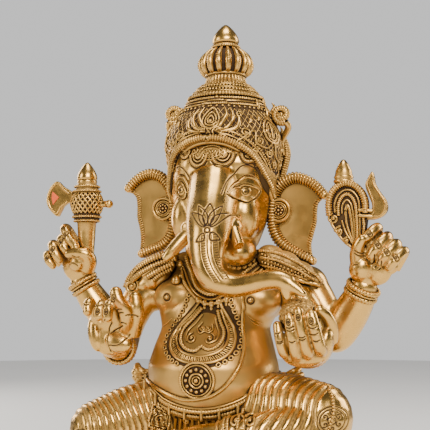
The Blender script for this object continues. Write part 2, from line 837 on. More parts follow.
class FIGURE_OT_head(bpy.types.Operator):
    """Casts the elephant head, curls its trunk and engraves the lotus on it"""

    bl_idname = "figure.head"
    bl_label = "Cast the head"

    def execute(self, context):
        chasing = context.scene.figure_chasing
        width = chasing.line / MM
        depth = chasing.cut / MM
        wax = Wax().rings(HEAD_SECTIONS)
        wax.cords([smooth_path(TRUNK, 8)], sides=8)
        wax.cords([smooth_path(TRUNK_UPPER_LIP), smooth_path(TRUNK_LOWER_LIP)], sides=6)
        wax.ball((-17, -34, 350), (23, 21, 20)).ball((18, -34, 350), (23, 21, 20))
        wax.ball((-29, -36, 300), (14, 18, 24)).ball((30, -34, 302), (15, 19, 24))
        wax.ball((24, -36, 268), (17, 22, 14), (15, 0, 0)).ball((-10, -38, 270), (18, 20, 13))
        wax.ball((-16, -62, 286), (9, 13, 9), (-30, 0, 0)).ball((26, -63, 289), (9.5, 12, 9.5))
        skin = wax.fused(chasing.skin / MM, 9)
        face = Skin(skin)
        lines = self.lotus(face)
        fine = self.trunk_lines(face)
        for frill in SCALLOPS:
            lines += [face.from_front(scallop(*frill, share, 24)) for share in (1.10, 0.68, 0.46)]
        for eye in EYES:
            lines.append(face.from_front(smooth_path(eye["brow"])))
            spots = eye["ball"] + (np.array(eye["opening"]) - eye["ball"]) * 1.12
            lines.append(face.from_front(smooth_path(spots, closed=True)))
            lines.append(face.from_front(smooth_path(np.array(eye["lid"]) + (0, 1.6))))
        skin = engraved(skin, lines, width * 0.85, depth, 0.65)
        skin = engraved(skin, fine, width * 0.5, depth * 0.7, 0.6)
        piece("head_skin", skin, "skin_brass", ["head", "trunk"])
        self.eyes(face)
        self.tusks()
        return {"FINISHED"}

    def lotus(self, face):
        """The lotus engraved across the top of the trunk."""
        heart = np.array((13.5, 283.5))
        outlines = []
        for lean, length, half_width, bend in (
            (-2, 25, 5.2, 0), (-27, 26, 4.0, -1), (22, 25, 4.0, 1), (-48, 25, 3.6, -2),
            (44, 23, 3.6, 2), (-138, 14, 3.0, 1.5), (128, 14, 3.4, -1.5),
        ):
            turn = math.radians(lean)
            root = heart + 4.0 * np.array((math.sin(turn), math.cos(turn)))
            tip = heart + length * np.array((math.sin(turn), math.cos(turn)))
            outlines += lens_outline(root, tip, half_width, bend)
        outlines.append(circle(heart, 2.4, 14))
        return [face.from_front(outline) for outline in outlines]

    def trunk_lines(self, face):
        """Twin lines with short strokes on both sides, down the front of the trunk."""
        spine = smooth_path([(14, 279), (15.5, 263), (20, 250), (28, 238)])
        twin = smooth_path([(17.5, 279), (19, 262), (23.5, 250), (30, 240)])
        right_in = spine + (-2.0, -0.5)
        right_out = spine + (-5.0, -1.0)
        left_in = twin + (2.0, 0.3)
        left_out = twin + (4.6, 0.8)
        curves = [spine, twin, right_out, left_out]
        curves += hatches(right_in, right_out, 2.3) + hatches(left_in, left_out, 2.3)
        return [face.from_front(curve) for curve in curves]

    def eyes(self, face):
        """Balls, lids and pupils of both eyes."""
        wax = Wax()
        rims = []
        for eye in EYES:
            place, normal = face.cast((eye["ball"][0], Skin.front, eye["ball"][1]), (0, 1, 0))
            half_width, half_height = eye["size"]
            turn = Vector((0, -1, 0)).rotation_difference(normal).to_euler()
            wax.ball(place - normal * 0.6, (half_width * 1.12, 2.6, half_height * 1.05),
                     [math.degrees(a) for a in turn])
        ball = wax.mesh()
        globe = Skin(ball)
        for eye in EYES:
            rims.append(globe.from_front(circle(eye["ball"], 2.7), 0.0))
            rims.append(globe.from_front(circle(eye["ball"], 0.7, 10), 0.1))
        piece("eyes", ball, "skin_brass")
        iris = Wax().cords([rim for rim in rims if len(rim) > 2], 0.42)
        piece("irises", iris, "mesh_ground_brass")
        lids = Wax()
        for eye in EYES:
            opening = face.from_front(smooth_path(eye["opening"], closed=True), 0.3)
            lids.cords([opening], 1.0, closed=True)
            lid = face.from_front(smooth_path(eye["lid"]), 0.0)
            taper = 0.5 + 1.0 * np.sin(np.linspace(0.25, math.pi - 0.1, len(lid)))
            lids.cords([np.column_stack([lid, taper])])
        piece("eyelids", lids, "skin_brass")

    def tusks(self):
        """The whole right tusk and the broken left one."""
        right = Wax().cords([smooth_path([
            (-10, -60, 290, 7.2), (-17, -67, 282, 7.0), (-25, -73, 272, 6.4), (-31, -77, 264, 5.4),
            (-35.5, -79, 258.5, 3.4),
        ])], sides=6)
        piece("right_tusk_skin", right.fused(0.8, 3), "skin_brass", ["right_tusk"])
        left = Wax().cords([smooth_path([
            (22, -60, 293, 6.2), (28, -68, 286, 6.1), (33, -75, 277, 5.7), (37, -80, 270, 5.0),
        ])], sides=6)
        piece("left_tusk_skin", left.fused(0.8, 3), "skin_brass", ["left_tusk"])


# ------------------------------------------------------------------ arms, hands and what they hold
ARMS = {
    # name: stations (x, y, z, radius) from the shoulder over the elbow to the wrist
    "upper_right": [
        (-66, 6, 240, 17), (-84, 7, 235, 17.5), (-98, 6, 214, 17), (-108, 5, 194, 16.5),
        (-114, 2, 188, 16.5), (-127, -1, 204, 17), (-141, -5, 224, 15), (-150, -9, 240, 12.6),
    ],
    "upper_left": [
        (64, 6, 240, 17), (82, 7, 235, 17.5), (95, 5, 214, 17.5), (104, 4, 193, 17.5),
        (110, 1, 189, 17.5), (121, -2, 204, 18), (132, -6, 221, 16), (138, -10, 233, 13.2),
    ],
    "lower_right": [
        (-66, -8, 226, 15), (-80, -12, 222, 15), (-91, -16, 204, 14.5), (-97, -20, 186, 14.5),
        (-94, -34, 177, 14.5), (-89, -50, 175, 13.4), (-87, -62, 176, 12.4),
    ],
    "lower_left": [
        (64, -8, 226, 15), (78, -12, 222, 15), (90, -16, 204, 14.5), (97, -20, 186, 14.5),
        (98, -34, 177, 14.5), (98, -50, 176, 13.4), (98, -62, 177, 12.4),
    ],
}
# palms as balls (centre, radii, turn); fingers as (x, y, z, radius) from the palm to the tip;
# nail marks as (centre, lean, half length, half width), creases as (centre, lean, half width)
# and the folds of a palm as curves, all engraved from the front
HANDS = {
    "upper_right": {
        "palm": [
            ((-154, -15, 256), (15, 9.5, 17), (0, -30, 0)),
            ((-150, -12, 246), (12.5, 10, 10), (0, -20, 0)),
            ((-143, -18, 262), (8, 7, 14), (0, 12, 0)),
            ((-163, -14, 266), (12, 7, 11), (0, -30, 0)),
            ((-151, -21, 266), (10, 7, 10), (0, -30, 0)),
            ((-148, -24, 259), (10, 8, 9), (0, -20, 0)),
        ],
        "fingers": [
            [(-157, -10, 280, 5), (-165, -14, 293, 5.4), (-164, -22, 293, 5.6), (-157, -28, 284, 5),
             (-149, -30, 276, 4.4)],
            [(-163, -10, 272, 5), (-168, -16, 283, 5.2), (-167, -24, 283, 5.2),
             (-163, -28, 276, 4.8), (-159, -27, 269, 4.2)],
            [(-170, -10, 264, 5), (-178, -15, 277, 5), (-177, -24, 277, 5.2), (-172, -28, 269, 4.8),
             (-168, -27, 262, 4.2)],
            [(-174, -10, 258, 4.6), (-184, -15, 267, 4.6), (-183.5, -22, 267, 4.8),
             (-180, -26, 261, 4.4), (-176, -25, 256, 3.8)],
            [(-141, -18, 252, 8), (-136, -23, 261, 7.4), (-138, -28, 267, 6.4),
             (-146, -31, 269, 5.4), (-155, -33, 268, 4.4)],
        ],
        "marks": [
            ((-160, 287), 42, 4.2, 2.0), ((-165, 280), 32, 3.2, 1.7), ((-174, 272), 30, 4.2, 1.9),
            ((-181, 264), 28, 2.8, 1.6),
        ],
        "creases": [((-153, 281), 50, 2.4), ((-146, 264), 10, 3.2), ((-149, 258), 200, 4.0)],
    },
    "upper_left": {
        "palm": [
            ((150, -15, 250), (16, 9.5, 15), (0, 36, 0)), ((139, -13, 241), (12, 10, 9), (0, 28, 0)),
            ((137, -21, 251), (10.5, 9.5, 12.5), (0, 18, 0)), ((160, -14, 255), (12, 7, 9), (0, 38, 0)),
            ((145, -18, 263), (10, 8, 9), (0, 36, 0)), ((147, -19, 272), (6, 7, 8), (0, 36, 0)),
        ],
        "fingers": [
            [(146, -10, 268, 4.8), (153, -14, 287, 4.8), (151, -22, 287, 5.0), (146, -27, 281, 4.8),
             (141, -28, 276, 4.2)],
            [(156, -10, 262, 4.8), (162, -14, 279, 5), (160, -23, 278, 5.2), (153, -29, 269, 5.2),
             (148, -29, 262, 4.4)],
            [(163, -10, 256, 4.8), (170, -14, 272, 5), (168, -22, 271, 5.2), (161, -28, 262, 5.1),
             (156, -28, 256, 4.4)],
            [(168, -10, 250, 4.6), (177, -14, 265, 4.6), (175.5, -21, 265, 4.8),
             (169, -27, 257, 4.8), (164, -26, 251, 4.2)],
            [(136, -20, 250, 7.5), (134, -24, 262, 6.6), (136, -28, 270, 5.8), (140, -30, 277, 4.8)],
        ],
        "marks": [
            ((147.5, 282), -40, 3.0, 2.0), ((155, 272), -36, 4.0, 2.0), ((163, 265), -36, 3.8, 2.0),
            ((171, 260), -36, 3.6, 1.9),
        ],
        "creases": [
            ((137, 262), 15, 4.2), ((137.5, 264.5), 15, 4.2), ((133, 254), 170, 2.6),
            ((151, 258), -62, 4.5), ((154, 255), -62, 4.5), ((157, 252), -62, 4.5),
        ],
    },
    "lower_right": {
        "palm": [
            ((-87, -79, 191), (21, 10, 21.5), (-14, 0, 0)),
            ((-77, -87, 183), (14, 6.5, 9.5), (-16, 22, 0)),
            ((-101, -83, 191), (8, 8.5, 18), (-10, -12, 0)),
            ((-86, -74, 181), (18, 12, 14), (0, 0, 0)), ((-86, -85, 201), (15, 6, 9), (-10, 0, 0)),
        ],
        "fingers": [
            [(-71, -84, 194, 6.4), (-66, -93, 203, 6.6), (-66, -99, 213, 6.4),
             (-71, -102, 221, 6.2), (-74, -101, 228, 6.0)],
            [(-78, -84, 196, 5.2), (-79, -94, 211, 5.1), (-79, -101, 218, 5.0),
             (-79, -107, 213, 5.0), (-79, -108, 206, 4.8)],
            [(-87, -84, 196, 5.2), (-88, -93, 211, 5.0), (-88.5, -99, 217.5, 4.9),
             (-88.5, -105, 214, 4.9), (-88.5, -107, 207, 4.8)],
            [(-98, -82, 195, 4.8), (-101, -90, 212, 4.7), (-102, -95, 219.5, 4.7),
             (-102, -100, 217, 4.7), (-101.5, -102, 211, 4.5)],
            [(-66, -80, 190, 8), (-61, -86, 203, 7.8), (-59, -89, 214, 7.6), (-60, -89, 223, 6.6)],
        ],
        "marks": [((-74, 223), 10, 3.4, 2.2), ((-88, 211), 0, 2.6, 1.8), ((-79, 211), 0, 2.6, 1.8)],
        "creases": [
            ((-70, 213), 165, 3.4), ((-69, 210), 165, 3.4), ((-68, 201), 190, 3.4),
            ((-59, 208), 188, 4.2), ((-79, 217), 0, 3.2), ((-88, 216.5), 0, 3.2),
            ((-102, 217), 0, 2.8),
        ],
        "folds": [
            [(-80, 204), (-85, 195), (-86, 186), (-84, 174)], [(-84, 191), (-77, 195), (-69, 198)],
            [(-84, 180), (-74, 181), (-65, 190)],
        ],
    },
    "lower_left": {
        "palm": [
            ((97, -84, 176), (21, 22, 12), (14, 0, 0)), ((97, -72, 174), (18, 14, 13), (0, 0, 0)),
            ((116, -88, 184), (7, 12, 16), (0, 12, 0)), ((90, -97, 183), (6, 9, 11), (0, 0, 0)),
            ((86.5, -102, 187), (4.6, 6, 9), (0, 0, 0)),
        ],
        "fingers": [
            [(85, -88, 176, 4.6), (83, -102, 176, 4.8), (81, -107, 184, 4.5), (79, -107, 193, 4.3),
             (77.5, -105, 200, 3.9)],
            [(94, -92, 174, 4.8), (94, -107, 175, 4.9), (93, -112, 186, 4.7), (91, -113, 198, 4.6),
             (89, -112, 207, 4.2)],
            [(103, -92, 175, 4.8), (104, -108, 177, 4.9), (102.5, -113, 188, 4.5),
             (100, -115, 201, 4.4), (98, -114, 212, 4.3)],
            [(113, -90, 178, 5.4), (115, -106, 180, 5.6), (113, -111, 190, 5.4),
             (111, -113, 200, 5.3), (108.5, -112, 209, 4.9)],
            [(119, -80, 186, 6.5), (121, -86, 198, 6), (118, -94, 208, 5.4), (113, -98, 213, 4.8)],
        ],
        "marks": [((89.5, 203), -8, 2.6, 1.9), ((98.5, 207), -8, 2.6, 1.9), ((109, 204), -8, 2.8, 2.1)],
        "creases": [
            ((79, 193), -8, 2.4), ((81, 186), -8, 2.6), ((81, 184.5), -8, 2.6),
            ((91, 198), -8, 3.4), ((91.5, 195.5), -8, 3.4), ((93, 186), -8, 2.6),
            ((101.5, 190), -8, 3.0), ((101.7, 188), -8, 3.0), ((111, 198), -8, 4.0),
            ((111.5, 192.5), -8, 4.0), ((113.5, 187), -8, 3.0),
        ],
    },
}
AXE_AT = (-142, -18)  # x and y of the axis that the axe is turned on
SWEET = ((94, -92, 206), 17.8)  # middle and radius


def slab(outline, front, back):
    """A flat plate between two depths from an (x, z) outline."""
    bm = bmesh.new()
    face = bm.faces.new([bm.verts.new((x, front, z)) for x, z in outline])
    grown = bmesh.ops.extrude_face_region(bm, geom=[face])["geom"]
    bmesh.ops.translate(
        bm, vec=(0, back - front, 0), verts=[g for g in grown if isinstance(g, bmesh.types.BMVert)]
    )
    bmesh.ops.recalc_face_normals(bm, faces=bm.faces)
    made = bpy.data.meshes.new("slab")
    bm.to_mesh(made)
    bm.free()
    return made


def oval(centre, lean, half_long, half_wide, square=0.0, steps=28):
    """A closed oval or rounded square of (x, z) points; lean in degrees from upright."""
    turn = np.linspace(0, 2 * math.pi, steps + 1)
    flat = np.column_stack([np.sin(turn), np.cos(turn)])
    flat = np.sign(flat) * np.abs(flat) ** (1 - 0.5 * square) * (half_wide, half_long)
    lean = math.radians(lean)
    spun = flat @ np.array(((math.cos(lean), -math.sin(lean)), (math.sin(lean), math.cos(lean))))
    return spun + centre


def crease(centre, lean, half_wide, steps=7):
    """A short bowed stroke across a finger; lean in degrees."""
    t = np.linspace(-1, 1, steps)
    flat = np.column_stack([t * half_wide, 0.28 * half_wide * t**2])
    lean = math.radians(lean)
    spun = flat @ np.array(((math.cos(lean), -math.sin(lean)), (math.sin(lean), math.cos(lean))))
    return spun + centre


class FIGURE_OT_arms(bpy.types.Operator):
    """Casts the four arms with soft elbows"""

    bl_idname = "figure.arms"
    bl_label = "Cast the arms"

    def execute(self, context):
        for name, stations in ARMS.items():
            wax = Wax().cords([smooth_path(stations)], sides=8)
            wax.ball(stations[1][:3], stations[1][3] + (2.5 if name.startswith("upper") else 0.5))
            wax.ball(stations[-1][:3], stations[-1][3])
            skin = wax.fused(1.5, 8)
            piece(f"{name}_arm_skin", skin, "skin_brass", [f"{name}_arm"])
        return {"FINISHED"}


class FIGURE_OT_hands(bpy.types.Operator):
    """Casts the four hands and engraves rings, nails and knuckles"""

    bl_idname = "figure.hands"
    bl_label = "Cast the hands"

    def execute(self, context):
        for name, hand in HANDS.items():
            self.hand(name, hand)
        return {"FINISHED"}

    def hand(self, name, hand):
        """One hand with its engraving."""
        wax = Wax()
        for centre, radii, turn in hand["palm"]:
            wax.ball(centre, radii, turn)
        wrist = ARMS[name][-1]
        wax.ball(wrist[:3], wrist[3] * 0.92)
        for finger in hand["fingers"]:
            wax.cords([smooth_path(finger, 5)], sides=5)
            wax.ball(finger[-1][:3], finger[-1][3], segments=16)
        skin = wax.fused(0.95, 2)
        front = Skin(skin)
        lines = [front.from_front(oval(*mark, square=0.6)) for mark in hand["marks"]]
        lines += [
            front.from_front(oval(centre, lean, half_long * 0.4, half_wide * 0.4, steps=12))
            for centre, lean, half_long, half_wide in hand["marks"]
        ]
        lines += [front.from_front(crease(*mark)) for mark in hand["creases"]]
        lines += [front.from_front(smooth_path(fold)) for fold in hand.get("folds", ())]
        skin = engraved(skin, [line for line in lines if len(line) > 1], 0.55, 0.8, 0.6)
        piece(f"{name}_hand_skin", skin, "skin_brass", [f"{name}_hand"])


class FIGURE_OT_axe(bpy.types.Operator):
    """Turns the axe's handle and netted head, and forges its blade"""

    bl_idname = "figure.axe"
    bl_label = "Make the axe"

    def execute(self, context):
        x, y = AXE_AT
        handle = Wax().turned([
            (0, 262), (7.5, 262), (8.2, 276), (9, 290), (9.6, 299), (11, 300.6), (0, 301),
        ], AXE_AT)
        piece("axe_handle_skin", handle, "skin_brass", ["axe_handle"])
        body = Wax().turned([
            (0, 300), (11, 300.4), (13.2, 303), (12.6, 304.6), (14.0, 306), (13.6, 308),
            (12.4, 309), (14.6, 313), (16.0, 319), (15.0, 325), (12.4, 329.5), (0, 329.6),
        ], AXE_AT).mesh()
        collar = Wax().turned([
            (0, 329), (12.2, 329.2), (13.2, 331), (13.0, 333), (11.4, 334.5), (12.2, 336),
            (11.6, 338), (9.4, 339.4), (10.2, 341), (10, 343), (8.6, 344), (0, 344),
        ], AXE_AT)
        piece("axe_collar", collar, "jewel_brass")
        bulb = Skin(body)
        piece("axe_bulb", body, "mesh_ground_brass")
        net = Wax()
        heights = np.linspace(309.5, 329.5, 9)
        for start in range(0, 360, 18):
            for way in (-1, 1):
                turns = start + way * np.linspace(0, 58, 9)
                wire = bulb.from_round(np.column_stack([turns, heights]), AXE_AT, 0.5)
                net.cords([wire], 0.95, sides=2)
        for height, radius in ((301.5, 12.6), (305.6, 14.2), (331.8, 13.8), (336.6, 12.4)):
            ring = circle((0, 0), radius, 80)
            loop = np.column_stack([ring[:, 0] + x, ring[:, 1] + y, np.full(len(ring), height)])
            net.cords([ribbed(loop, 0.95, 1.9, 0.22)], sides=2)
        piece("axe_net", net, "jewel_brass")
        finial = Wax().turned([
            (0, 343), (9.0, 343), (10.2, 344.4), (10.4, 346), (9.6, 349.6), (7.8, 353.4), (5.2, 357.4),
            (2.8, 360.4), (1.0, 361.8), (0, 362),
        ], AXE_AT, 64)
        piece("axe_finial_skin", finial, "skin_brass", ["axe_finial"])
        knob = Wax().ball((x + 24.4, y, 318.4), 4.3).cords([
            [(x + 13, y, 318.6, 4.6), (x + 18, y, 318.5, 3.4), (x + 22, y, 318.4, 3.4)]
        ], sides=4)
        piece("axe_knob_skin", knob.fused(0.6, 3), "skin_brass", ["axe_knob"])
        self.blade()
        return {"FINISHED"}

    def blade(self):
        """The flared blade with a raised border."""
        outline = smooth_path([
            (-157, 331), (-162, 334.5), (-168, 338), (-174.5, 343.5), (-181, 339), (-185.5, 331),
            (-186.4, 322), (-182.5, 314), (-174.5, 307), (-171, 311), (-167.5, 317), (-162, 320.5),
            (-157, 321),
        ], 4)[:-1]
        plate = Wax().add(slab(outline, -21.2, -15.6)).fused(0.6, 4)
        rim = Skin(plate).from_front(smooth_path([
            (-161, 330), (-167, 334.5), (-174, 341), (-181, 335), (-184, 326), (-181.5, 316),
            (-174.5, 310), (-169.5, 317), (-162, 322),
        ]), 0.1)
        piece("axe_blade_skin", plate, "skin_brass", ["axe_blade"])
        piece("axe_blade_border", Wax().cords([rim], 1.1), "skin_brass")
        field = slab([(-179.5, 333), (-180.6, 326), (-178.8, 319), (-172, 326.6)], -21.9, -20.6)
        powder = Wax().add(field).fused(0.4, 3)
        piece("axe_blade_powder", powder, "powder_red")


class FIGURE_OT_noose(bpy.types.Operator):
    """Makes the noose with its ribbed arches and scrolls, and the elephant goad behind it"""

    bl_idname = "figure.noose"
    bl_label = "Make the noose and goad"

    def execute(self, context):
        outline = smooth_path([
            (106.5, 313), (109, 324), (117, 331.5), (125, 333.4), (134, 331), (142, 323), (145.5, 311),
            (144, 294), (141, 276), (136, 269), (130, 269), (122, 277), (113, 288), (107.5, 299),
        ], 4, closed=True)
        ground = Wax().add(slab(outline, -22.6, -12.8)).fused(0.8, 4)
        face = Skin(ground)
        piece("noose_ground", ground, "mesh_ground_brass", ["noose"])
        arches = Wax()
        outer = smooth_path([
            (109, 300), (108.4, 312), (111.5, 322), (118, 328.6), (125, 330.6), (133, 328),
            (139.5, 321), (142.6, 311), (142.4, 302),
        ])
        arches.cords([ribbed(face.from_front(outer, 0.6), 3.0, 2.4)], sides=3)
        for stations, radius, pitch in (
            ([(114.4, 303), (114, 311), (117, 319), (122, 323.6), (127, 324.4), (132, 321.8),
              (136, 315.6), (137.4, 306), (137.4, 290), (137, 280)], 1.0, 0),
            ([(117.6, 300), (117.4, 309), (120, 316.4), (125, 320.2), (130, 317.6), (133.6, 310),
              (134.6, 298), (135, 284), (134.4, 276)], 1.7, 1.9),
            ([(121, 302), (121.4, 310), (125, 315), (129, 311.6), (131, 304), (132.4, 290),
              (132.4, 276)], 0.9, 0),
            ([(120.6, 296), (123.6, 286), (128, 278), (131.6, 272)], 1.0, 0),
            ([(124.4, 305), (126, 309.6), (128, 305.6), (130, 292), (131.4, 277)], 1.5, 0),
            ([(124.2, 304), (125.4, 292), (128, 283), (131, 275)], 1.3, 0),
            ([(140.4, 300), (141.2, 290), (140.4, 279)], 1.3, 2.0),
            ([(109.6, 297), (112, 291), (118, 282), (124, 275), (130, 270)], 1.3, 0),
        ):
            path = face.from_front(smooth_path(stations), 0.35)
            arches.cord(path, radius, pitch)
        for centre, radius, start in (((113, 297.6), 5.2, 100), ((118, 285.4), 4.6, 70),
                ((124.4, 276.6), 3.0, 60)):
            arches.cords([face.from_front(spiral(centre, radius, start, 1.5), 0.9)], 1.05)
            arches.beads(face.from_front([centre], 0.9), 1.7, 12)
        piece("noose_arches", arches, "jewel_brass")
        finial = Wax().turned([
            (0, 331), (8.6, 331), (9.8, 332.6), (9.2, 334.4), (8.2, 335), (9.4, 336.4), (8.8, 338),
            (8.4, 338.6), (7.6, 343), (5.2, 348.4), (2.2, 353), (0, 354),
        ], (122.0, -17.6), 64)
        piece("noose_finial_skin", finial, "skin_brass", ["noose_finial"])
        self.goad()
        return {"FINISHED"}

    def goad(self):
        """The hook's flame-shaped blade with its raised border and the bands that bind it."""
        outline = smooth_path([
            (149, 341), (144.6, 334), (142.6, 328), (145.4, 319), (148.4, 311), (148, 305.6),
            (142, 303.8), (138.4, 303), (138.4, 296.4), (144, 296), (152, 296.4), (159, 299.4),
            (163, 305.4), (162, 313.6), (157, 321), (152.4, 329), (151.2, 336),
        ], 4, closed=True)
        blade = Wax().add(slab(outline, -22.0, -14.0)).fused(0.7, 5)
        face = Skin(blade)
        piece("goad_hook_skin", blade, "skin_brass", ["goad_hook"])
        border = Wax()
        border.cords([face.from_front(smooth_path([
            (148.4, 338), (144.8, 329), (148.4, 317.6), (150.6, 309), (149, 301), (141, 300)
        ]), 0.2)], 1.0)
        border.cords([face.from_front(smooth_path([
            (149.6, 336), (151, 328), (156, 320), (160.6, 312), (160.8, 305), (155.4, 299.6),
            (147, 298),
        ]), 0.2)], 1.1)
        for height in (304.4, 299.2):
            binding = [(136.6, -23.8, height + 0.3), (143, -23.8, height), (149, -22.6, height - 0.6)]
            border.cords([binding], 1.7)
        piece("goad_border", border, "jewel_brass")


class FIGURE_OT_sweet(bpy.types.Operator):
    """Makes the heaped sweet with its crumbled surface"""

    bl_idname = "figure.sweet"
    bl_label = "Make the sweet"

    def execute(self, context):
        (x, y, z), radius = SWEET
        bm = bmesh.new()
        place = Matrix.Translation((x, y, z))
        bmesh.ops.create_icosphere(bm, subdivisions=6, radius=radius, matrix=place)
        mesh = bpy.data.meshes.new("sweet")
        bm.to_mesh(mesh)
        bm.free()
        places, _ = points_of(mesh)
        out = (places - (x, y, z)) / radius
        wave = np.zeros(len(out))
        for step in range(9):
            axis = np.array((math.sin(2.4 * step + 1), math.cos(1.7 * step), math.sin(3.1 * step + 2)))
            wave += np.sin(out @ axis * (17 + 2.3 * step) + step * 1.9)
        crumb = np.clip(wave / 3.0, -1, 1)
        mesh = worked(mesh, 0.55 * crumb - 0.35, np.clip(-crumb * 0.9, 0, 0.8))
        piece("sweet_skin", mesh, "stippled_brass", ["sweet"])
        return {"FINISHED"}


# ------------------------------------------------------------------ ears and crown
EAR_RIMS = {
    # (x, z) middle line of the thick ribbed rim, and the scalloped outer edge
    "right": (
        [(-101, 335), (-94, 342), (-85, 347.5), (-75, 349), (-65, 345), (-57, 336), (-53, 325),
         (-51.5, 310), (-52, 296), (-56, 284), (-64, 276.5), (-75, 272), (-86, 268)],
        [(-99, 333), (-93, 327), (-91.5, 318), (-91.5, 306), (-89, 296), (-87.5, 285), (-88, 275),
         (-90, 268)],
    ),
    "left": (
        [(101, 322), (93, 331), (84, 337), (73, 340), (63, 337), (55, 330), (51, 320), (49.5, 307),
         (50.5, 292), (55, 281), (63, 272.5), (74, 266), (88, 259)],
        [(99, 320), (94, 314), (93, 306), (92.5, 296), (89.5, 285), (87, 275), (88, 266), (91, 259)],
    ),
}
# (x, z, radius) of each rosette
EARRING_SPOTS = ((-62, 313, 10.5), (57, 308, 10.5))
# (bearing, height) of the rim of the face opening
RIM_STATIONS = [
    (-84, 322), (-74, 332), (-59, 347), (-42, 361), (-22, 371), (0, 374.5), (22, 371), (42, 361),
    (59, 347), (74, 332), (84, 322),
]
MOTIF = (6, 390)  # bearing and height of the lotus flame on the crest


def turned_ring(radius, height, centre=CROWN_AXIS, steps=120):
    """Points of a level ring round an upright axis."""
    turn = np.linspace(0, 2 * math.pi, steps + 1)
    return np.column_stack([
        centre[0] + radius * np.sin(turn), centre[1] - radius * np.cos(turn), np.full(steps + 1, height)
    ])


def ring_across(before, end, radius, shift, steps):
    """Points of a ring round the end of a limb, square to its last stretch."""
    middle = Vector(end[:3])
    turn = (middle - Vector(before[:3])).normalized().to_track_quat("Z", "Y")
    flat = turned_ring(radius, shift, (0, 0), steps)
    return np.array([tuple(turn @ Vector(spot) + middle) for spot in flat])


def fluted(mesh, count, depth, low, high, centre=CROWN_AXIS):
    """Presses upright flutes or lobes into a turned mesh between two heights."""
    places, _ = points_of(mesh)
    bearing = np.arctan2(places[:, 0] - centre[0], centre[1] - places[:, 1])
    gap = 1 - np.abs(np.sin(bearing * count / 2))
    window = np.clip(np.minimum(places[:, 2] - low, high - places[:, 2]) / 1.5, 0, 1)
    return worked(mesh, -depth * gap * window, np.clip(gap * window * 1.5 - 0.5, 0, 1))


class FIGURE_OT_ears(bpy.types.Operator):
    """Hammers the ear fans, their ribbed rims and scalloped edges, and sets the rosettes"""

    bl_idname = "figure.ears"
    bl_label = "Make the ears"

    def execute(self, context):
        for side, (rim, edge) in EAR_RIMS.items():
            self.ear(side, rim, edge)
        self.rosettes()
        return {"FINISHED"}

    def ear(self, side, rim, edge):
        """One ear."""
        hand = 1 if rim[0][0] > 0 else -1
        outline = rim + edge[::-1][1:-1]
        fan = Wax().add(slab(outline, -4.6, 1.0)).fused(1.1, 3)
        places, _ = points_of(fan)
        middle = np.array((hand * 74, 305))
        off = np.hypot((places[:, 0] - middle[0]) / 24, (places[:, 2] - middle[1]) / 38)
        dish = np.clip(1 - off, 0, 1) ** 0.7
        fan.vertices.foreach_set(
            "co", (places + np.outer(dish * 2.2, (0, 1, 0))).ravel()
        )
        fan.update()
        piece(f"{side}_ear_fan", fan, "ear_brass", [f"{side}_ear"])
        rim_path = np.insert(smooth_path(rim, 8), 1, -6.6, axis=1)
        swollen = ribbed(rim_path, 5.0, 2.9, 0.18)
        swollen[:, 3] *= 0.86 + 0.18 * np.sin(np.linspace(0, math.pi, len(swollen)))
        thick = Wax().cords([swollen], sides=4)
        for end in (rim_path[0], rim_path[-1]):
            thick.ball(end, 4.4, segments=16)
        piece(f"{side}_ear_rim", thick, "skin_brass")
        back = np.insert(smooth_path(rim, 8), 1, 0.6, axis=1)
        roll = Wax().cords([back], 4.2, sides=4)
        for end in (back[0], back[-1]):
            roll.ball(end, 4.2, segments=16)
        piece(f"{side}_ear_back_roll", roll, "ear_brass")
        teeth = Wax()
        for spot in even_path(smooth_path(edge, 8), 2.3):
            root = (spot[0] - hand * 3.4, -4.0, spot[1] + 0.8)
            tip = (spot[0] + hand * 0.6, -4.2, spot[1] - 0.9)
            teeth.cords([np.array([(*root, 0.4), (*np.add(root, tip) / 2, 1.3), (*tip, 1.0)])], sides=2)
        piece(f"{side}_ear_teeth", teeth, "ear_brass")

    def rosettes(self):
        """Rosette earrings: three rings round a flower of dots, with beads outside them."""
        rings = Wax()
        ground = Wax()
        for x, z, radius in EARRING_SPOTS:
            y = -9.2
            ground.ball((x, y + 1.6, z), (radius, 3.0, radius), segments=40)
            for reach, thick in ((radius, 1.5), (radius - 2.9, 0.7), (radius - 4.6, 0.55)):
                ring = circle((x, z), reach, 60)
                rings.cords([np.insert(ring, 1, y - 0.9, axis=1)], thick, sides=3)
            dots = circle((x, z), 3.5, 8)[:-1]
            rings.beads(np.insert(dots, 1, y - 1.6, axis=1), 1.15, 12)
            rings.beads([(x, y - 1.8, z)], 1.3, 12)
            outer = circle((x, z), radius + 1.7, 60)
            arc = outer[np.abs(outer[:, 0]) > abs(x) - 4]
            rings.beads(np.insert(arc[::3], 1, y + 2.0, axis=1), 0.8, 8)
        piece("earring_grounds", ground, "mesh_ground_brass", ["earrings"])
        piece("earring_rings", rings, "jewel_brass")


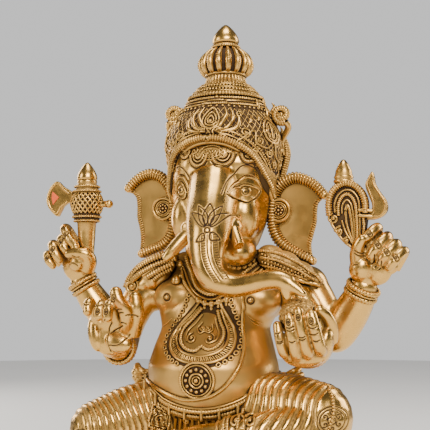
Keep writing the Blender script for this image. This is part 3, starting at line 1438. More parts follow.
class FIGURE_OT_crown_tiers(bpy.types.Operator):
    """Turns the crown's rings, fluted neck, lobed dome and bud"""

    bl_idname = "figure.crown_tiers"
    bl_label = "Turn the crown's tiers"

    def execute(self, context):
        chasing = context.scene.figure_chasing
        slot = "ornament_brass"
        lower = Wax().turned([
            (0, 419), (36, 419), (38.4, 420.4), (39.2, 422), (38.4, 423.8), (36, 424.5), (0, 424.5),
        ], CROWN_AXIS, 220).mesh()
        piece("crown_lower_ring_skin", fluted(lower, 74, 1.3, 418, 426), "jewel_brass",
              ["crown_lower_ring"])
        middle = Wax().turned([
            (0, 424.5), (31.5, 424.5), (33, 425.4), (32.6, 427), (31, 428.6), (29.6, 430.4),
            (28.2, 431.2), (27, 431.6), (26, 433.2), (24.6, 434.4), (23, 436), (0, 436),
        ], CROWN_AXIS, 160)
        piece("crown_middle_ring_skin", middle, "mesh_ground_brass", ["crown_middle_ring"])
        rows = Wax()
        for radius, height, size, count in ((32.6, 427.4, 1.5, 62), (29.0, 431.8, 1.3, 58),
                (25.6, 435, 1.1, 54)):
            rows.beads(turned_ring(radius, height, steps=count)[:-1], size, 10)
        for radius, height in ((34.2, 425.2), (31.2, 429.6), (27.6, 433.4)):
            rows.cords([turned_ring(radius, height)], 0.7, sides=2)
        piece("crown_middle_rows", rows, "jewel_brass")
        neck = Wax().turned([
            (0, 436), (22.5, 436), (22.2, 437), (21.0, 440), (20.0, 443), (20.4, 446), (0, 446),
        ], CROWN_AXIS, 272).mesh()
        piece("crown_neck_skin", fluted(neck, chasing.flutes, 1.6, 435, 446), "jewel_brass",
              ["crown_neck"])
        self.dome(chasing.lobes, slot)
        ring = Wax().turned([
            (0, 474), (12.4, 474), (14.4, 474.8), (15.2, 476), (14.6, 477.4), (13, 478.4), (12.4, 479),
            (0, 479),
        ], CROWN_AXIS, 128).mesh()
        piece("crown_dome_ring_skin", fluted(ring, 40, 0.6, 474, 479), "jewel_brass",
              ["crown_dome_ring"])
        bud = Wax().turned([
            (0, 479), (11, 479), (13, 480.6), (13.6, 482.4), (12.8, 486), (10.8, 490), (7.8, 494),
            (4.4, 497.6), (1.8, 499.6), (0, 500),
        ], CROWN_AXIS, 96)
        piece("crown_bud_skin", bud, "skin_brass", ["crown_bud"])
        return {"FINISHED"}

    def dome(self, lobes, slot):
        """The melon dome: a dark core and one granulated lobe after another."""
        core = Wax().turned([
            (0, 446), (19, 446), (22, 450), (24, 457), (22.6, 464), (17.4, 470.6), (12, 474), (0, 474),
        ], CROWN_AXIS)
        piece("crown_dome_core", core, "mesh_ground_brass", ["crown_dome"])
        ribs = Wax()
        grains = []
        for turn in np.linspace(0, 2 * math.pi, lobes, endpoint=False):
            out = np.array((math.sin(turn), -math.cos(turn)))
            meridian = smooth_path([
                (19.6, 447, 1.8), (23.2, 451, 2.9), (25.0, 457.4, 3.3), (23.0, 464.4, 2.9),
                (18.2, 470.4, 2.0), (14.0, 473.6, 1.3),
            ], 5)
            rib = np.column_stack([
                CROWN_AXIS[0] + meridian[:, 0] * out[0], CROWN_AXIS[1] + meridian[:, 0] * out[1],
                meridian[:, 1], meridian[:, 2],
            ])
            ribs.cords([rib], sides=4)
            for x, y, z, thick in even_path(rib, 2.3)[1:-1]:
                grains.append((x + out[0] * (thick - 0.1), y + out[1] * (thick - 0.1), z))
        ribs.beads(grains, 0.85, 8)
        ribs.cords([turned_ring(20.4, 446.6)], 1.3, sides=3)
        piece("crown_dome_lobes", ribs, "jewel_brass")


class FIGURE_OT_crown_cap(bpy.types.Operator):
    """Covers the crown's cap with its lotus flame, scrolls, leaves and netting"""

    bl_idname = "figure.crown_cap"
    bl_label = "Chase the crown's cap"

    def execute(self, context):
        dress_node("crown_cap", "mesh_ground_brass")
        cap = Skin(node_mesh("crown_cap"), node_mesh("crown_crest"))
        relief = Wax()

        def lay(points, radius, lift=0.5, pitch=0.0):
            path = cap.from_round(points, CROWN_AXIS, lift)
            if len(path) > 1:
                relief.cord(path, radius, pitch)

        self.flame(cap, lay, relief)
        for side in (-1, 1):
            self.side(cap, lay, relief, side)
        for bearing in (120, 180, 240):
            self.back(lay, relief, cap, bearing)
        for height, radius, pitch in ((409.5, 1.2, 1.9), (413.2, 0.8, 0), (416.8, 1.3, 2.2)):
            turns = np.linspace(0, 360, 181)
            lay(np.column_stack([turns, np.full(181, height)]), radius, 0.3, pitch)
        dots = np.column_stack([np.arange(0, 360, 6.5), np.full(56, 406.4)])
        relief.beads(cap.from_round(dots, CROWN_AXIS, 0.6), 1.25, 8)
        piece("crown_cap_relief", relief, "jewel_brass")
        self.netting(cap)
        self.rim(cap)
        return {"FINISHED"}

    def flame(self, cap, lay, relief):
        """The lotus flame at the front of the cap, on its raised crest."""
        piece("crown_crest_skin", node_mesh("crown_crest"), "mesh_ground_brass",
              ["crown_crest"])
        u, z = MOTIF
        scale = 1.12
        for size in (1.0, 0.66, 0.36):
            drop = smooth_path([
                (u - 3, z + 14 * size), (u - 3 + 7 * size, z + 4 * size),
                (u - 3 + 6 * size, z - 5 * size), (u - 3, z - 8 * size),
                (u - 3 - 6 * size, z - 5 * size), (u - 3 - 7 * size, z + 4 * size),
            ], 6, closed=True)
            lay(np.vstack([drop, drop[:1]]), 1.15 if size == 1.0 else 0.8, 0.6)
        for size in (1.0, 0.5):
            low = smooth_path([
                (u + 3, z - 18 * size + 2), (u + 6.5, z - 13 * size + 2), (u + 3, z - 9 * size + 2),
                (u - 0.5, z - 13 * size + 2),
            ], 5, closed=True)
            lay(np.vstack([low, low[:1]]), 0.85, 0.6)
        relief.beads(cap.from_round([(u - 3, z - 1)], CROWN_AXIS, 0.8), 2.0, 12)
        for way in (-1, 1):
            for reach, top, low in ((9, 15, -7), (15, 14, -9), (21, 9, -11)):
                petal = smooth_path([
                    (u - 2 + way * 4 * scale, z + low), (u - 2 + way * (reach - 1), z + low + 3),
                    (u - 2 + way * (reach + 4), z + (top + low) / 2 + 2),
                    (u - 2 + way * (reach + 2), z + top),
                ])
                taper = 0.5 + 1.7 * np.sin(np.linspace(0.2, math.pi - 0.1, len(petal)))
                lay(np.column_stack([petal, taper]), 1.0, 0.3)
            lay(spiral((u + way * 24, z + 7), 3.6, 90 - way * 90, way * 1.4), 0.75, 0.7)

    def side(self, cap, lay, relief, side):
        """Scrolls, vine and the large outlined leaf on one side of the cap."""
        base = MOTIF[0]
        for bearing, height, radius, start in (
            (30, 379, 5.8, 200), (44, 372, 5.0, 120), (26, 366, 3.6, 60), (58, 362, 4.6, 160),
            (70, 352, 4.2, 120), (40, 361.5, 3.2, 40), (68, 372, 4.0, 90), (80, 340, 3.8, 90),
            (10, 373, 3.4, 20),
        ):
            centre = (base * 0.5 + side * bearing, height)
            curl = spiral((0, 0), radius, start, 1.6)
            curl = np.column_stack([curl[:, 0] * 1.05 * side, curl[:, 1]]) + centre
            lay(curl, 0.9, 0.6)
            relief.beads(cap.from_round([centre], CROWN_AXIS, 0.7), 1.3, 10)
        vine = smooth_path([
            (base + side * 12, 366), (base + side * 24, 373), (base + side * 36, 381),
            (base + side * 38, 370), (base + side * 50, 366), (base + side * 60, 373),
            (base + side * 66, 360), (base + side * 76, 354), (base + side * 84, 336),
        ])
        lay(vine, 0.9, 0.6)
        for size in (1.0, 0.6):
            leaf = smooth_path([
                (side * 64, 396 - 9 * (1 - size)), (side * (64 + 13 * size), 384),
                (side * (64 + 9 * size), 378 - 4 * size),
                (side * 64, 374 - 2 * size + 4 * (1 - size)),
                (side * (64 - 9 * size), 378 - 2 * size), (side * (64 - 11 * size), 386),
            ], 6, closed=True)
            lay(np.vstack([leaf, leaf[:1]]), 1.0 if size == 1.0 else 0.7, 0.8)
        lay([(side * 64, height) for height in np.linspace(377, 392, 8)], 0.7, 0.8)
        for bearing, height, lean in ((47, 392, 20), (52, 381, -30), (82, 366, 10), (36, 388, 30),
                (86, 352, -10)):
            root = np.array((base * 0.4 + side * bearing, height))
            tip = root + (side * 5 * math.cos(math.radians(lean)), 6 + 0.06 * lean)
            t = np.linspace(0, 1, 7)[:, None]
            stroke = root + (tip - root) * t
            thick = 0.4 + 1.5 * np.sin(math.pi * t**0.7)
            lay(np.hstack([stroke, thick]), 1.0, 0.7)

    def back(self, lay, relief, cap, bearing):
        """The pattern of scrolls and a leaf repeated behind the ears."""
        for size in (1.0, 0.62):
            leaf = smooth_path([
                (bearing, 402 - 12 * (1 - size)), (bearing + 17 * size, 384),
                (bearing + 12 * size, 366 + 5 * (1 - size)), (bearing, 358 + 14 * (1 - size)),
                (bearing - 12 * size, 366 + 5 * (1 - size)), (bearing - 17 * size, 384),
            ], 6, closed=True)
            lay(np.vstack([leaf, leaf[:1]]), 1.1 if size == 1.0 else 0.8, 0.6)
        for way in (-1, 1):
            for off, height, radius in ((22, 398, 4.4), (25, 378, 5.2), (24, 360, 4.6), (14, 346, 4.6),
                    (20, 332, 4.0)):
                centre = (bearing + way * off, height)
                curl = spiral((0, 0), radius, 60 if way > 0 else 120, way * 1.5)
                lay(curl + centre, 0.9, 0.6)
                relief.beads(cap.from_round([centre], CROWN_AXIS, 0.7), 1.3, 10)
        lay([(bearing, height) for height in np.linspace(364, 392, 10)], 0.8, 0.7)
        for height in (326.5, 351):
            turns = np.linspace(bearing - 30, bearing + 30, 40)
            lay(np.column_stack([turns, np.full(40, height)]), 1.0, 0.5, 1.9)

    def netting(self, cap):
        """Crossed wires over the open ground between the scrolls."""
        net = Wax()
        for way in (-1, 1):
            for start in range(-100, 260, 6):
                heights = np.linspace(346, 404, 34)
                turns = start + way * np.linspace(0, 42, 34)
                path = cap.from_round(np.column_stack([turns, heights]), CROWN_AXIS, 0.05)
                if len(path) > 8:
                    net.cords([path], 0.36, sides=1)
        piece("crown_cap_netting", net, "jewel_brass")

    def rim(self, cap):
        """Ribbed rim of the face opening, the lining behind it, and lines and beads above it."""
        rows = Wax()
        stations = smooth_path(RIM_STATIONS, 8)

        def around(reach, spots, rise, deeper=0.0):
            turns = np.radians(spots[:, 0])
            return np.column_stack([
                reach * np.sin(turns), -4 - (reach + 1) * np.cos(turns) + deeper, spots[:, 1] + rise,
            ])

        for rise, radius, pitch in ((-0.6, 2.8, 2.5), (4.2, 0.8, 0), (8.6, 0.8, 0)):
            rows.cord(cap.nearest(around(56, stations, rise), 0.6), radius, pitch, 0.24, sides=3)
        for reach, rise, radius, pitch in ((53.5, -1.6, 2.2, 2.0), (50.5, -3.4, 3.0, 0)):
            rows.cord(around(reach, stations, rise), radius, pitch, 0.24, sides=3)
        for deeper in (3.5, 6.5, 9.5, 12.5, 15.5):
            for hand in (-1, 1):
                flank = stations[stations[:, 0] * hand > 30]
                rows.cord(cap.nearest(around(56, flank, -1.0, deeper), 0.4), 1.8, 1.9, 0.2, sides=3)
        dots = cap.from_round(even_path(stations + (0, 6.7), 2.6), CROWN_AXIS, 0.5)
        rows.beads(dots, 1.15, 8)
        piece("crown_rim_skin", rows, "jewel_brass", ["crown_rim"])


# middle of the volute on each side of the crown
VOLUTES = {"right": (-50, -14, 407), "left": (59.5, -6, 402.5)}


class FIGURE_OT_crown_ribbons(bpy.types.Operator):
    """Makes the scroll volutes and ribbed hanging ribbons beside the crown"""

    bl_idname = "figure.crown_ribbons"
    bl_label = "Make the crown's ribbons"

    def execute(self, context):
        for side, hand in (("right", -1), ("left", 1)):
            wax = Wax()
            x, y, z = VOLUTES[side]
            curl = spiral((x, z), 8.4, 90 - hand * 150, -hand * 1.45, inner=0.30)
            scroll = np.insert(curl, 1, y, axis=1)
            swell = np.interp(np.arange(len(scroll)), [0, len(scroll) * 0.3, len(scroll)],
                [3.2, 3.7, 2.4])
            wax.cords([ribbed(np.column_stack([scroll[:, :3], swell]), 3.4, 2.2, 0.08)], sides=4)
            wax.ball((x, y, z), (2.8, 3.4, 2.8), segments=16)
            foot = tuple(scroll[0][:3])
            wax.cords([smooth_path([
                (*foot, 3.2), (foot[0] + hand * 1.5, y + 4, z - 13, 3.2), (hand * 56, 9, 378, 3.0),
                (hand * 57, 14, 366, 2.6),
            ])], sides=4)
            band = smooth_path([
                (hand * 50, 14.4, 388), (hand * 57, 14.6, 380), (hand * 60, 14.8, 366),
                (hand * 57, 15, 352), (hand * 53.6, 15, 342),
            ])
            for shift, radius in ((0.0, 2.9), (-4.6, 2.4)):
                wax.cords([ribbed(band + (hand * shift, 0, 0), radius, 2.3, 0.2)], sides=4)
            wax.cords([band + (hand * 3.0, 0.6, 0)], 1.0, sides=3)
            for x, z, lean in ((50, 404, 20), (46, 411, 40), (55, 386, -20)):
                flick = smooth_path([
                    (hand * (x - 4), 11, z - 6, 1.0), (hand * x, 12, z - 1, 2.2),
                    (hand * (x + 1 + lean * 0.02), 13, z + 4, 1.6), (hand * (x - 1), 13, z + 8, 0.4),
                ])
                wax.cords([flick], sides=4)
            piece(f"{side}_crown_ribbon_skin", wax, "jewel_brass",
                  [f"{side}_crown_ribbon"])
        leaves = Wax()
        for x, y, z, lean in ((37, 2, 412, 30), (36, -17, 405, 20), (43, -9, 399, 40),
                (-38, -2, 410, -30), (-40, -14, 402, -30)):
            leaves.cords([smooth_path([
                (x, y, z - 4, 1.2), (x * 1.06, y, z + 2, 2.6), (x * 1.05, y, z + 8, 1.8),
                (x + lean * 0.02, y, z + 12, 0.4),
            ])], sides=4)
        piece("crown_leaves", leaves, "jewel_brass")
        return {"FINISHED"}




class FIGURE_OT_forehead(bpy.types.Operator):
    """Lays the netted frill with hatched scallops over the forehead"""

    bl_idname = "figure.forehead"
    bl_label = "Lay the forehead ornament"

    def execute(self, context):
        cloth = skins("head_skin")
        ground = Wax()
        work = Wax()
        centre = np.array((2.5, 360.0))

        def lay(points, radius, pitch=0.0, into=work):
            path = cloth.from_front(points, 0.3)
            if len(path) > 1:
                into.cord(path, radius, pitch, 0.2)

        for frill in SCALLOPS:
            for share, radius, pitch in ((0.89, 1.45, 1.8), (0.57, 0.9, 0), (0.30, 1.2, 1.6)):
                lay(scallop(*frill, share, 22), radius, pitch)
            lay(scallop(*frill, 0.30, 22), 0.5, 0, ground)
        for share in np.linspace(-0.8, 0.8, 6):
            for way in (-1, 1):
                x = centre[0] + share * 9
                lay([(x + way * t * 4, centre[1] - 4 + t * 8) for t in np.linspace(0, 1, 8)], 0.4)
        lay(oval(centre, 90, 8.6, 4.6, steps=40), 0.9)
        lay(oval(centre, 90, 11.4, 7.2, steps=40), 0.8, 1.4)
        for hand in (-1, 1):
            lay(spiral(centre + (hand * 17, 3), 4.2, 90, hand * 1.2), 0.8)
            lay(spiral(centre + (hand * 29, -1 if hand > 0 else 2), 3.4, 90, hand * 1.2), 0.8)
        piece("forehead_ground", ground, "mesh_ground_brass", ["forehead_ornament"])
        piece("forehead_work", work, "jewel_brass")
        return {"FINISHED"}


# ------------------------------------------------------------------ legs, seat and plinth
# stations (x, y, z, radius); pitch is the width of a pleat, and until is how far along the
# thigh the pleated cloth reaches
LEGS = {
    "right": {
        "thigh": [(-30, -22, 116, 33), (-54, -36, 112, 33.5), (-78, -54, 108, 32),
            (-102, -72, 100, 28)],
        "shin": [(-102, -74, 98, 25), (-101, -86, 84, 20), (-96, -94, 66, 16), (-90, -97, 54, 13.5)],
        "pitch": 5.6,
        "until": 112,
    },
    "left": {
        "thigh": [(28, -22, 118, 33), (52, -38, 119, 34.5), (78, -49, 119, 34.5),
            (103, -57, 117, 31.5)],
        "shin": [(100, -68, 110, 23), (78, -80, 107, 20.5), (54, -88, 104, 18), (30, -91, 102, 15.5)],
        "pitch": 7.2,
        "until": 101,
    },
}
FEET = {
    "right": [(-90, -97, 52, 12), (-88, -103, 46, 11.5), (-85.5, -110, 42.5, 9.5), (-84, -116, 40, 6)],
    "left": [(28, -91, 102, 13), (12, -93, 101, 12), (-4, -93, 99.5, 10.5), (-16, -92.5, 98, 7.5)],
}
SEAT_SIZE = span("seat_slab")
WAIST = 28.0  # the lotus seat's waist over its underside, where both rows of petals begin
PETAL_BORDER = ((0, 0), (1, 0), (2, 0), (3, 1), (3, 2), (3, 3), (2, 4), (1, 4), (0, 4))
PETAL_REACH = (0.905, 0.955, 1.0, 0.985)  # shares of the slab's half size, root to tip


def pleated(mesh, path, pitch, depth, until, wave=0.0):
    """Presses the folds of a wrapped cloth across a limb, up to a length along its path."""
    path = even_path(smooth_path(path), 1.0)
    along = np.concatenate([[0], np.cumsum(np.linalg.norm(np.diff(path[:, :3], axis=0), axis=1))])
    tree = KDTree(len(path))
    for index, spot in enumerate(path):
        tree.insert(spot[:3], index)
    tree.balance()
    places, _ = points_of(mesh)
    found = [tree.find(place) for place in places]
    index = np.array([f[1] for f in found])
    step = np.gradient(path[:, :3], axis=0)
    offset = np.einsum("ij,ij->i", places - path[index, :3], step[index])
    stretch = along[index] + offset + wave * np.sin(places[:, 2] * 0.16 + places[:, 0] * 0.05)
    ridge = np.abs(np.sin(math.pi * stretch / pitch)) ** 0.6
    window = np.clip((until - stretch) / 4, 0, 1) * np.clip(stretch / 6, 0, 1)
    groove = (1 - ridge) * window
    return worked(mesh, (0.35 - groove) * depth * window, np.clip(groove * 1.4 - 0.25, 0, 0.95))


class FIGURE_OT_legs(bpy.types.Operator):
    """Casts the folded legs, pleats their cloth and engraves the knees"""

    bl_idname = "figure.legs"
    bl_label = "Cast the legs"

    def execute(self, context):
        for side, leg in LEGS.items():
            wax = Wax().cords([smooth_path(leg["thigh"])], sides=10)
            wax.cords([smooth_path(leg["shin"])], sides=8)
            for x, y, z, radius in (leg["thigh"][-1], leg["shin"][0], leg["shin"][-1]):
                wax.ball((x, y, z), radius)
            skin = wax.fused(1.35, 6)
            skin = pleated(skin, leg["thigh"], leg["pitch"], 0.38 * leg["pitch"], leg["until"], 1.2)
            shape = Skin(skin)
            skin = engraved(skin, self.knee(side, shape), 0.6, 0.8, 0.9)
            piece(f"{side}_leg_skin", skin, "pleat_brass", [f"{side}_leg"])
            self.trim(side, shape)
        self.feet()
        return {"FINISHED"}

    def knee(self, side, shape):
        """Rings and small paisleys engraved on a knee."""
        centre = (-108, 92) if side == "right" else (120, 118)
        lines = [circle(centre, 12, 50), circle(centre, 9.6, 44), circle(centre, 3.2, 20)]
        for turn in range(0, 360, 60):
            lean = math.radians(turn)
            spot = np.array(centre) + 6.3 * np.array((math.sin(lean), math.cos(lean)))
            lines.append(spiral(spot, 2.5, turn, 1.0, 16))
        found = [shape.from_front(line) for line in lines]
        return [line for line in found if len(line) > 2]

    def trim(self, side, shape):
        """Hem bands at the ankle, and a beaded hem at the left knee."""
        bands = Wax()
        shin = even_path(smooth_path(LEGS[side]["shin"]), 1.0)
        for spot, thick, pitch in ((-12, 1.4, 2.2), (-17, 0.9, 0)):
            centre = shin[spot, :3]
            along = Vector(centre - shin[spot - 2, :3]).normalized()
            side_way = along.orthogonal().normalized()
            other = along.cross(side_way)
            loop = []
            for turn in np.linspace(0, 2 * math.pi, 73):
                out = side_way * math.cos(turn) + other * math.sin(turn)
                place, _ = shape.cast(Vector(centre) + out * 60, -out)
                if place is not None and (place - Vector(centre)).length < 45:
                    loop.append(tuple(place + out * thick * 0.3))
            if len(loop) > 60:
                bands.cord(loop, thick, pitch, sides=2)
        if side == "left":
            hem = shape.from_front(smooth_path([(112, 148), (119, 137), (121, 124), (117, 110)]))
            bands.beads(even_path(hem, 3.0), 1.6, 10)
        piece(f"{side}_leg_trim", bands, "jewel_brass")

    def feet(self):
        """Both feet with their toes, and the anklets."""
        for side, stations in FEET.items():
            wax = Wax().cords([smooth_path(stations)], sides=8)
            tip = np.array(stations[-1][:3])
            if side == "right":
                toes = [
                    (tip + (x, -1 + abs(x) * 0.1, -0.5), tip + (x * 1.15, -6 + abs(x) * 0.3, -3))
                    for x in (-7, -3.6, -0.4, 2.8, 6.4)
                ]
            else:
                toes = [
                    (tip + (0, y * 0.3, z), tip + (-6 + abs(z) * 0.2, y * 0.4, z * 1.2))
                    for y, z in ((-2, 6), (-3, 3), (-3.4, 0), (-3, -3), (-2, -5.6))
                ]
            for index, (start, end) in enumerate(toes):
                size = 3.2 if index == 4 else 2.3
                wax.cords([np.array([(*start, size), (*end, size * 0.9)])], sides=4)
                wax.ball(end, size * 0.95, segments=12)
            piece(f"{side}_foot_skin", wax.fused(0.9, 3), "skin_brass", [f"{side}_foot"])
        rings = Wax()
        for side, thick in (("right", 15.0), ("left", 17.0)):
            before, ankle = LEGS[side]["shin"][-2:]
            for shift, reach in ((-1.5, thick), (2.0, thick - 1.2)):
                rings.cord(ring_across(before, ankle, reach, shift, 60), 1.7, 2.8, 0.16, sides=3)
        piece("anklet_rings", rings, "jewel_brass", ["anklets"])


class FIGURE_OT_seat(bpy.types.Operator):
    """Makes the double lotus seat, its slab, the plinth and the footrest"""

    bl_idname = "figure.seat"
    bl_label = "Make the seat"

    def execute(self, context):
        count = context.scene.figure_chasing.petals
        low, high = SEAT_SIZE
        middle = (low + high) / 2
        half = (high - low) / 2
        floor = span("lotus_seat")[0][2]
        dress_node("lotus_seat", "mesh_ground_brass")
        petals = Wax()
        for index in range(count):
            for row, grow in enumerate((1, -1)):
                turn = 2 * math.pi * (index + 0.5 * row) / count
                self.petal(petals, middle, half, floor + WAIST, turn, grow, count)
        piece("lotus_petals", petals, "cast_base_brass")
        slab_skin = Wax()
        edge = []
        for height, inset in ((low[2], 2), (low[2] + 1.4, 0.4), (high[2] - 3, 0), (high[2] - 0.8, 0.8),
                (high[2], 3)):
            edge.append((height, middle[0], middle[1], half[0] - inset, half[1] - inset))
        slab_skin.rings(edge, 160)
        piece("seat_slab_skin", slab_skin, "cast_base_brass", ["seat_slab"])
        beads = Wax()
        turn = np.linspace(0, 2 * math.pi, 400, endpoint=False)
        for height, inset, size, gap in ((low[2] + 4.6, -0.2, 2.1, 4.8),
                (floor + WAIST, 15.6, 2.2, 5.0)):
            loop = np.column_stack([
                middle[0] + (half[0] - inset) * np.cos(turn),
                middle[1] + (half[1] - inset) * np.sin(turn),
                np.full(400, height),
            ])
            if height > 50:
                loop[:, :2] = middle[:2] + (loop[:, :2] - middle[:2]) * 0.992
            beads.beads(even_path(loop, gap, closed=True), size, 8)
        piece("seat_beads", beads, "jewel_brass")
        self.base()
        return {"FINISHED"}

    def petal(self, petals, middle, half, waist, turn, grow, count):
        """One lotus petal with a raised border and a dimpled middle."""
        width = math.pi / count * 1.04
        rows = []
        for share, out in zip((0.04, 0.36, 0.72, 1.0), PETAL_REACH):
            spread = width * (0.74, 1.0, 0.86, 0.18)[len(rows)]
            height = waist + grow * share * 25.5
            rows.append([
                (
                    middle[0] + half[0] * (out - 0.012 * abs(off) ** 2) * math.cos(turn + off * spread),
                    middle[1] + half[1] * (out - 0.012 * abs(off) ** 2) * math.sin(turn + off * spread),
                    height,
                )
                for off in (-1, -0.5, 0, 0.5, 1)
            ])
        grid = [[petals.bm.verts.new(p) for p in row] for row in rows]
        for a, b in zip(grid, grid[1:]):
            for i in range(4):
                quad = (a[i], a[i + 1], b[i + 1], b[i])
                petals.bm.faces.new(quad if grow > 0 else quad[::-1])
        border = [rows[row][place] for row, place in PETAL_BORDER]
        petals.cords([smooth_path(border, 3)], 1.0, sides=1)
        outward = np.array((math.cos(turn), math.sin(turn), 0))
        inner = [np.array(p) * 0.62 + np.array(rows[1][2]) * 0.38 + outward * 0.5 for p in border]
        petals.cords([smooth_path(inner, 3)], 0.7, sides=1)

    def base(self):
        """The stepped plinth, the footrest and the bolts."""
        low, high = span("plinth")
        dress_node("plinth", "cast_base_brass")
        rows = Wax()
        for inset, height in ((0.8, low[2] + 10.4), (13.6, high[2] - 2.0)):
            corner = 5.0
            x0, y0 = low[0] + inset, low[1] + inset
            x1, y1 = high[0] - inset, high[1] - inset
            loop = [
                (x0 + corner, y0), (x1 - corner, y0), (x1, y0 + corner), (x1, y1 - corner),
                (x1 - corner, y1), (x0 + corner, y1), (x0, y1 - corner), (x0, y0 + corner),
            ]
            path = np.array([(x, y, height) for x, y in loop + loop[:1]])
            rows.cords([path], 0.9, sides=2)
        piece("plinth_mouldings", rows, "jewel_brass")
        foot_low, foot_high = span("footrest_lotus")
        x, y = ((foot_low + foot_high) / 2)[:2]
        lotus = Wax().turned([
            (0, foot_low[2]), (18.6, foot_low[2]), (19, foot_low[2] + 1.6), (17, foot_low[2] + 3.6),
            (15.8, foot_low[2] + 6), (17.6, foot_low[2] + 8.4), (20.4, foot_low[2] + 10.6),
            (20.8, foot_low[2] + 11.4), (20, foot_high[2]), (0, foot_high[2]),
        ], (x, y), 160).mesh()
        lotus = fluted(lotus, 22, 1.5, foot_low[2] + 0.5, foot_high[2] - 0.4, (x, y))
        piece("footrest_skin", lotus, "cast_base_brass", ["footrest_lotus"])
        for node in ("base_bolts", "figure_bolts"):
            dress_node(node, "bolt_steel")


# ------------------------------------------------------------------ jewellery and cloth trim
def skins(*names):
    """One surface over finished pieces, in millimetres."""
    meshes = []
    for name in names:
        mesh = bpy.data.objects[name].data.copy()
        mesh.transform(Matrix.Scale(1 / MM, 4))
        meshes.append(mesh)
    found = Skin(*meshes)
    for mesh in meshes:
        bpy.data.meshes.remove(mesh)
    return found


class FIGURE_OT_bracelets(bpy.types.Operator):
    """Slides a pair of ribbed bangles over each wrist"""

    bl_idname = "figure.bracelets"
    bl_label = "Make the bracelets"

    def execute(self, context):
        for name, stations in ARMS.items():
            reach = stations[-1][3]
            rings = Wax()
            for shift, grow, radius, pitch in ((-7.0, 1.2, 2.2, 3.2), (-3.0, 2.0, 1.1, 0),
                    (0.4, 1.4, 2.3, 3.2)):
                loop = ring_across(stations[-2], stations[-1], reach + grow, shift, 72)
                rings.cord(loop, radius, pitch, 0.15, sides=3)
            piece(f"{name}_bracelet_rings", rings, "jewel_brass",
                  [f"{name}_bracelet"])
        return {"FINISHED"}


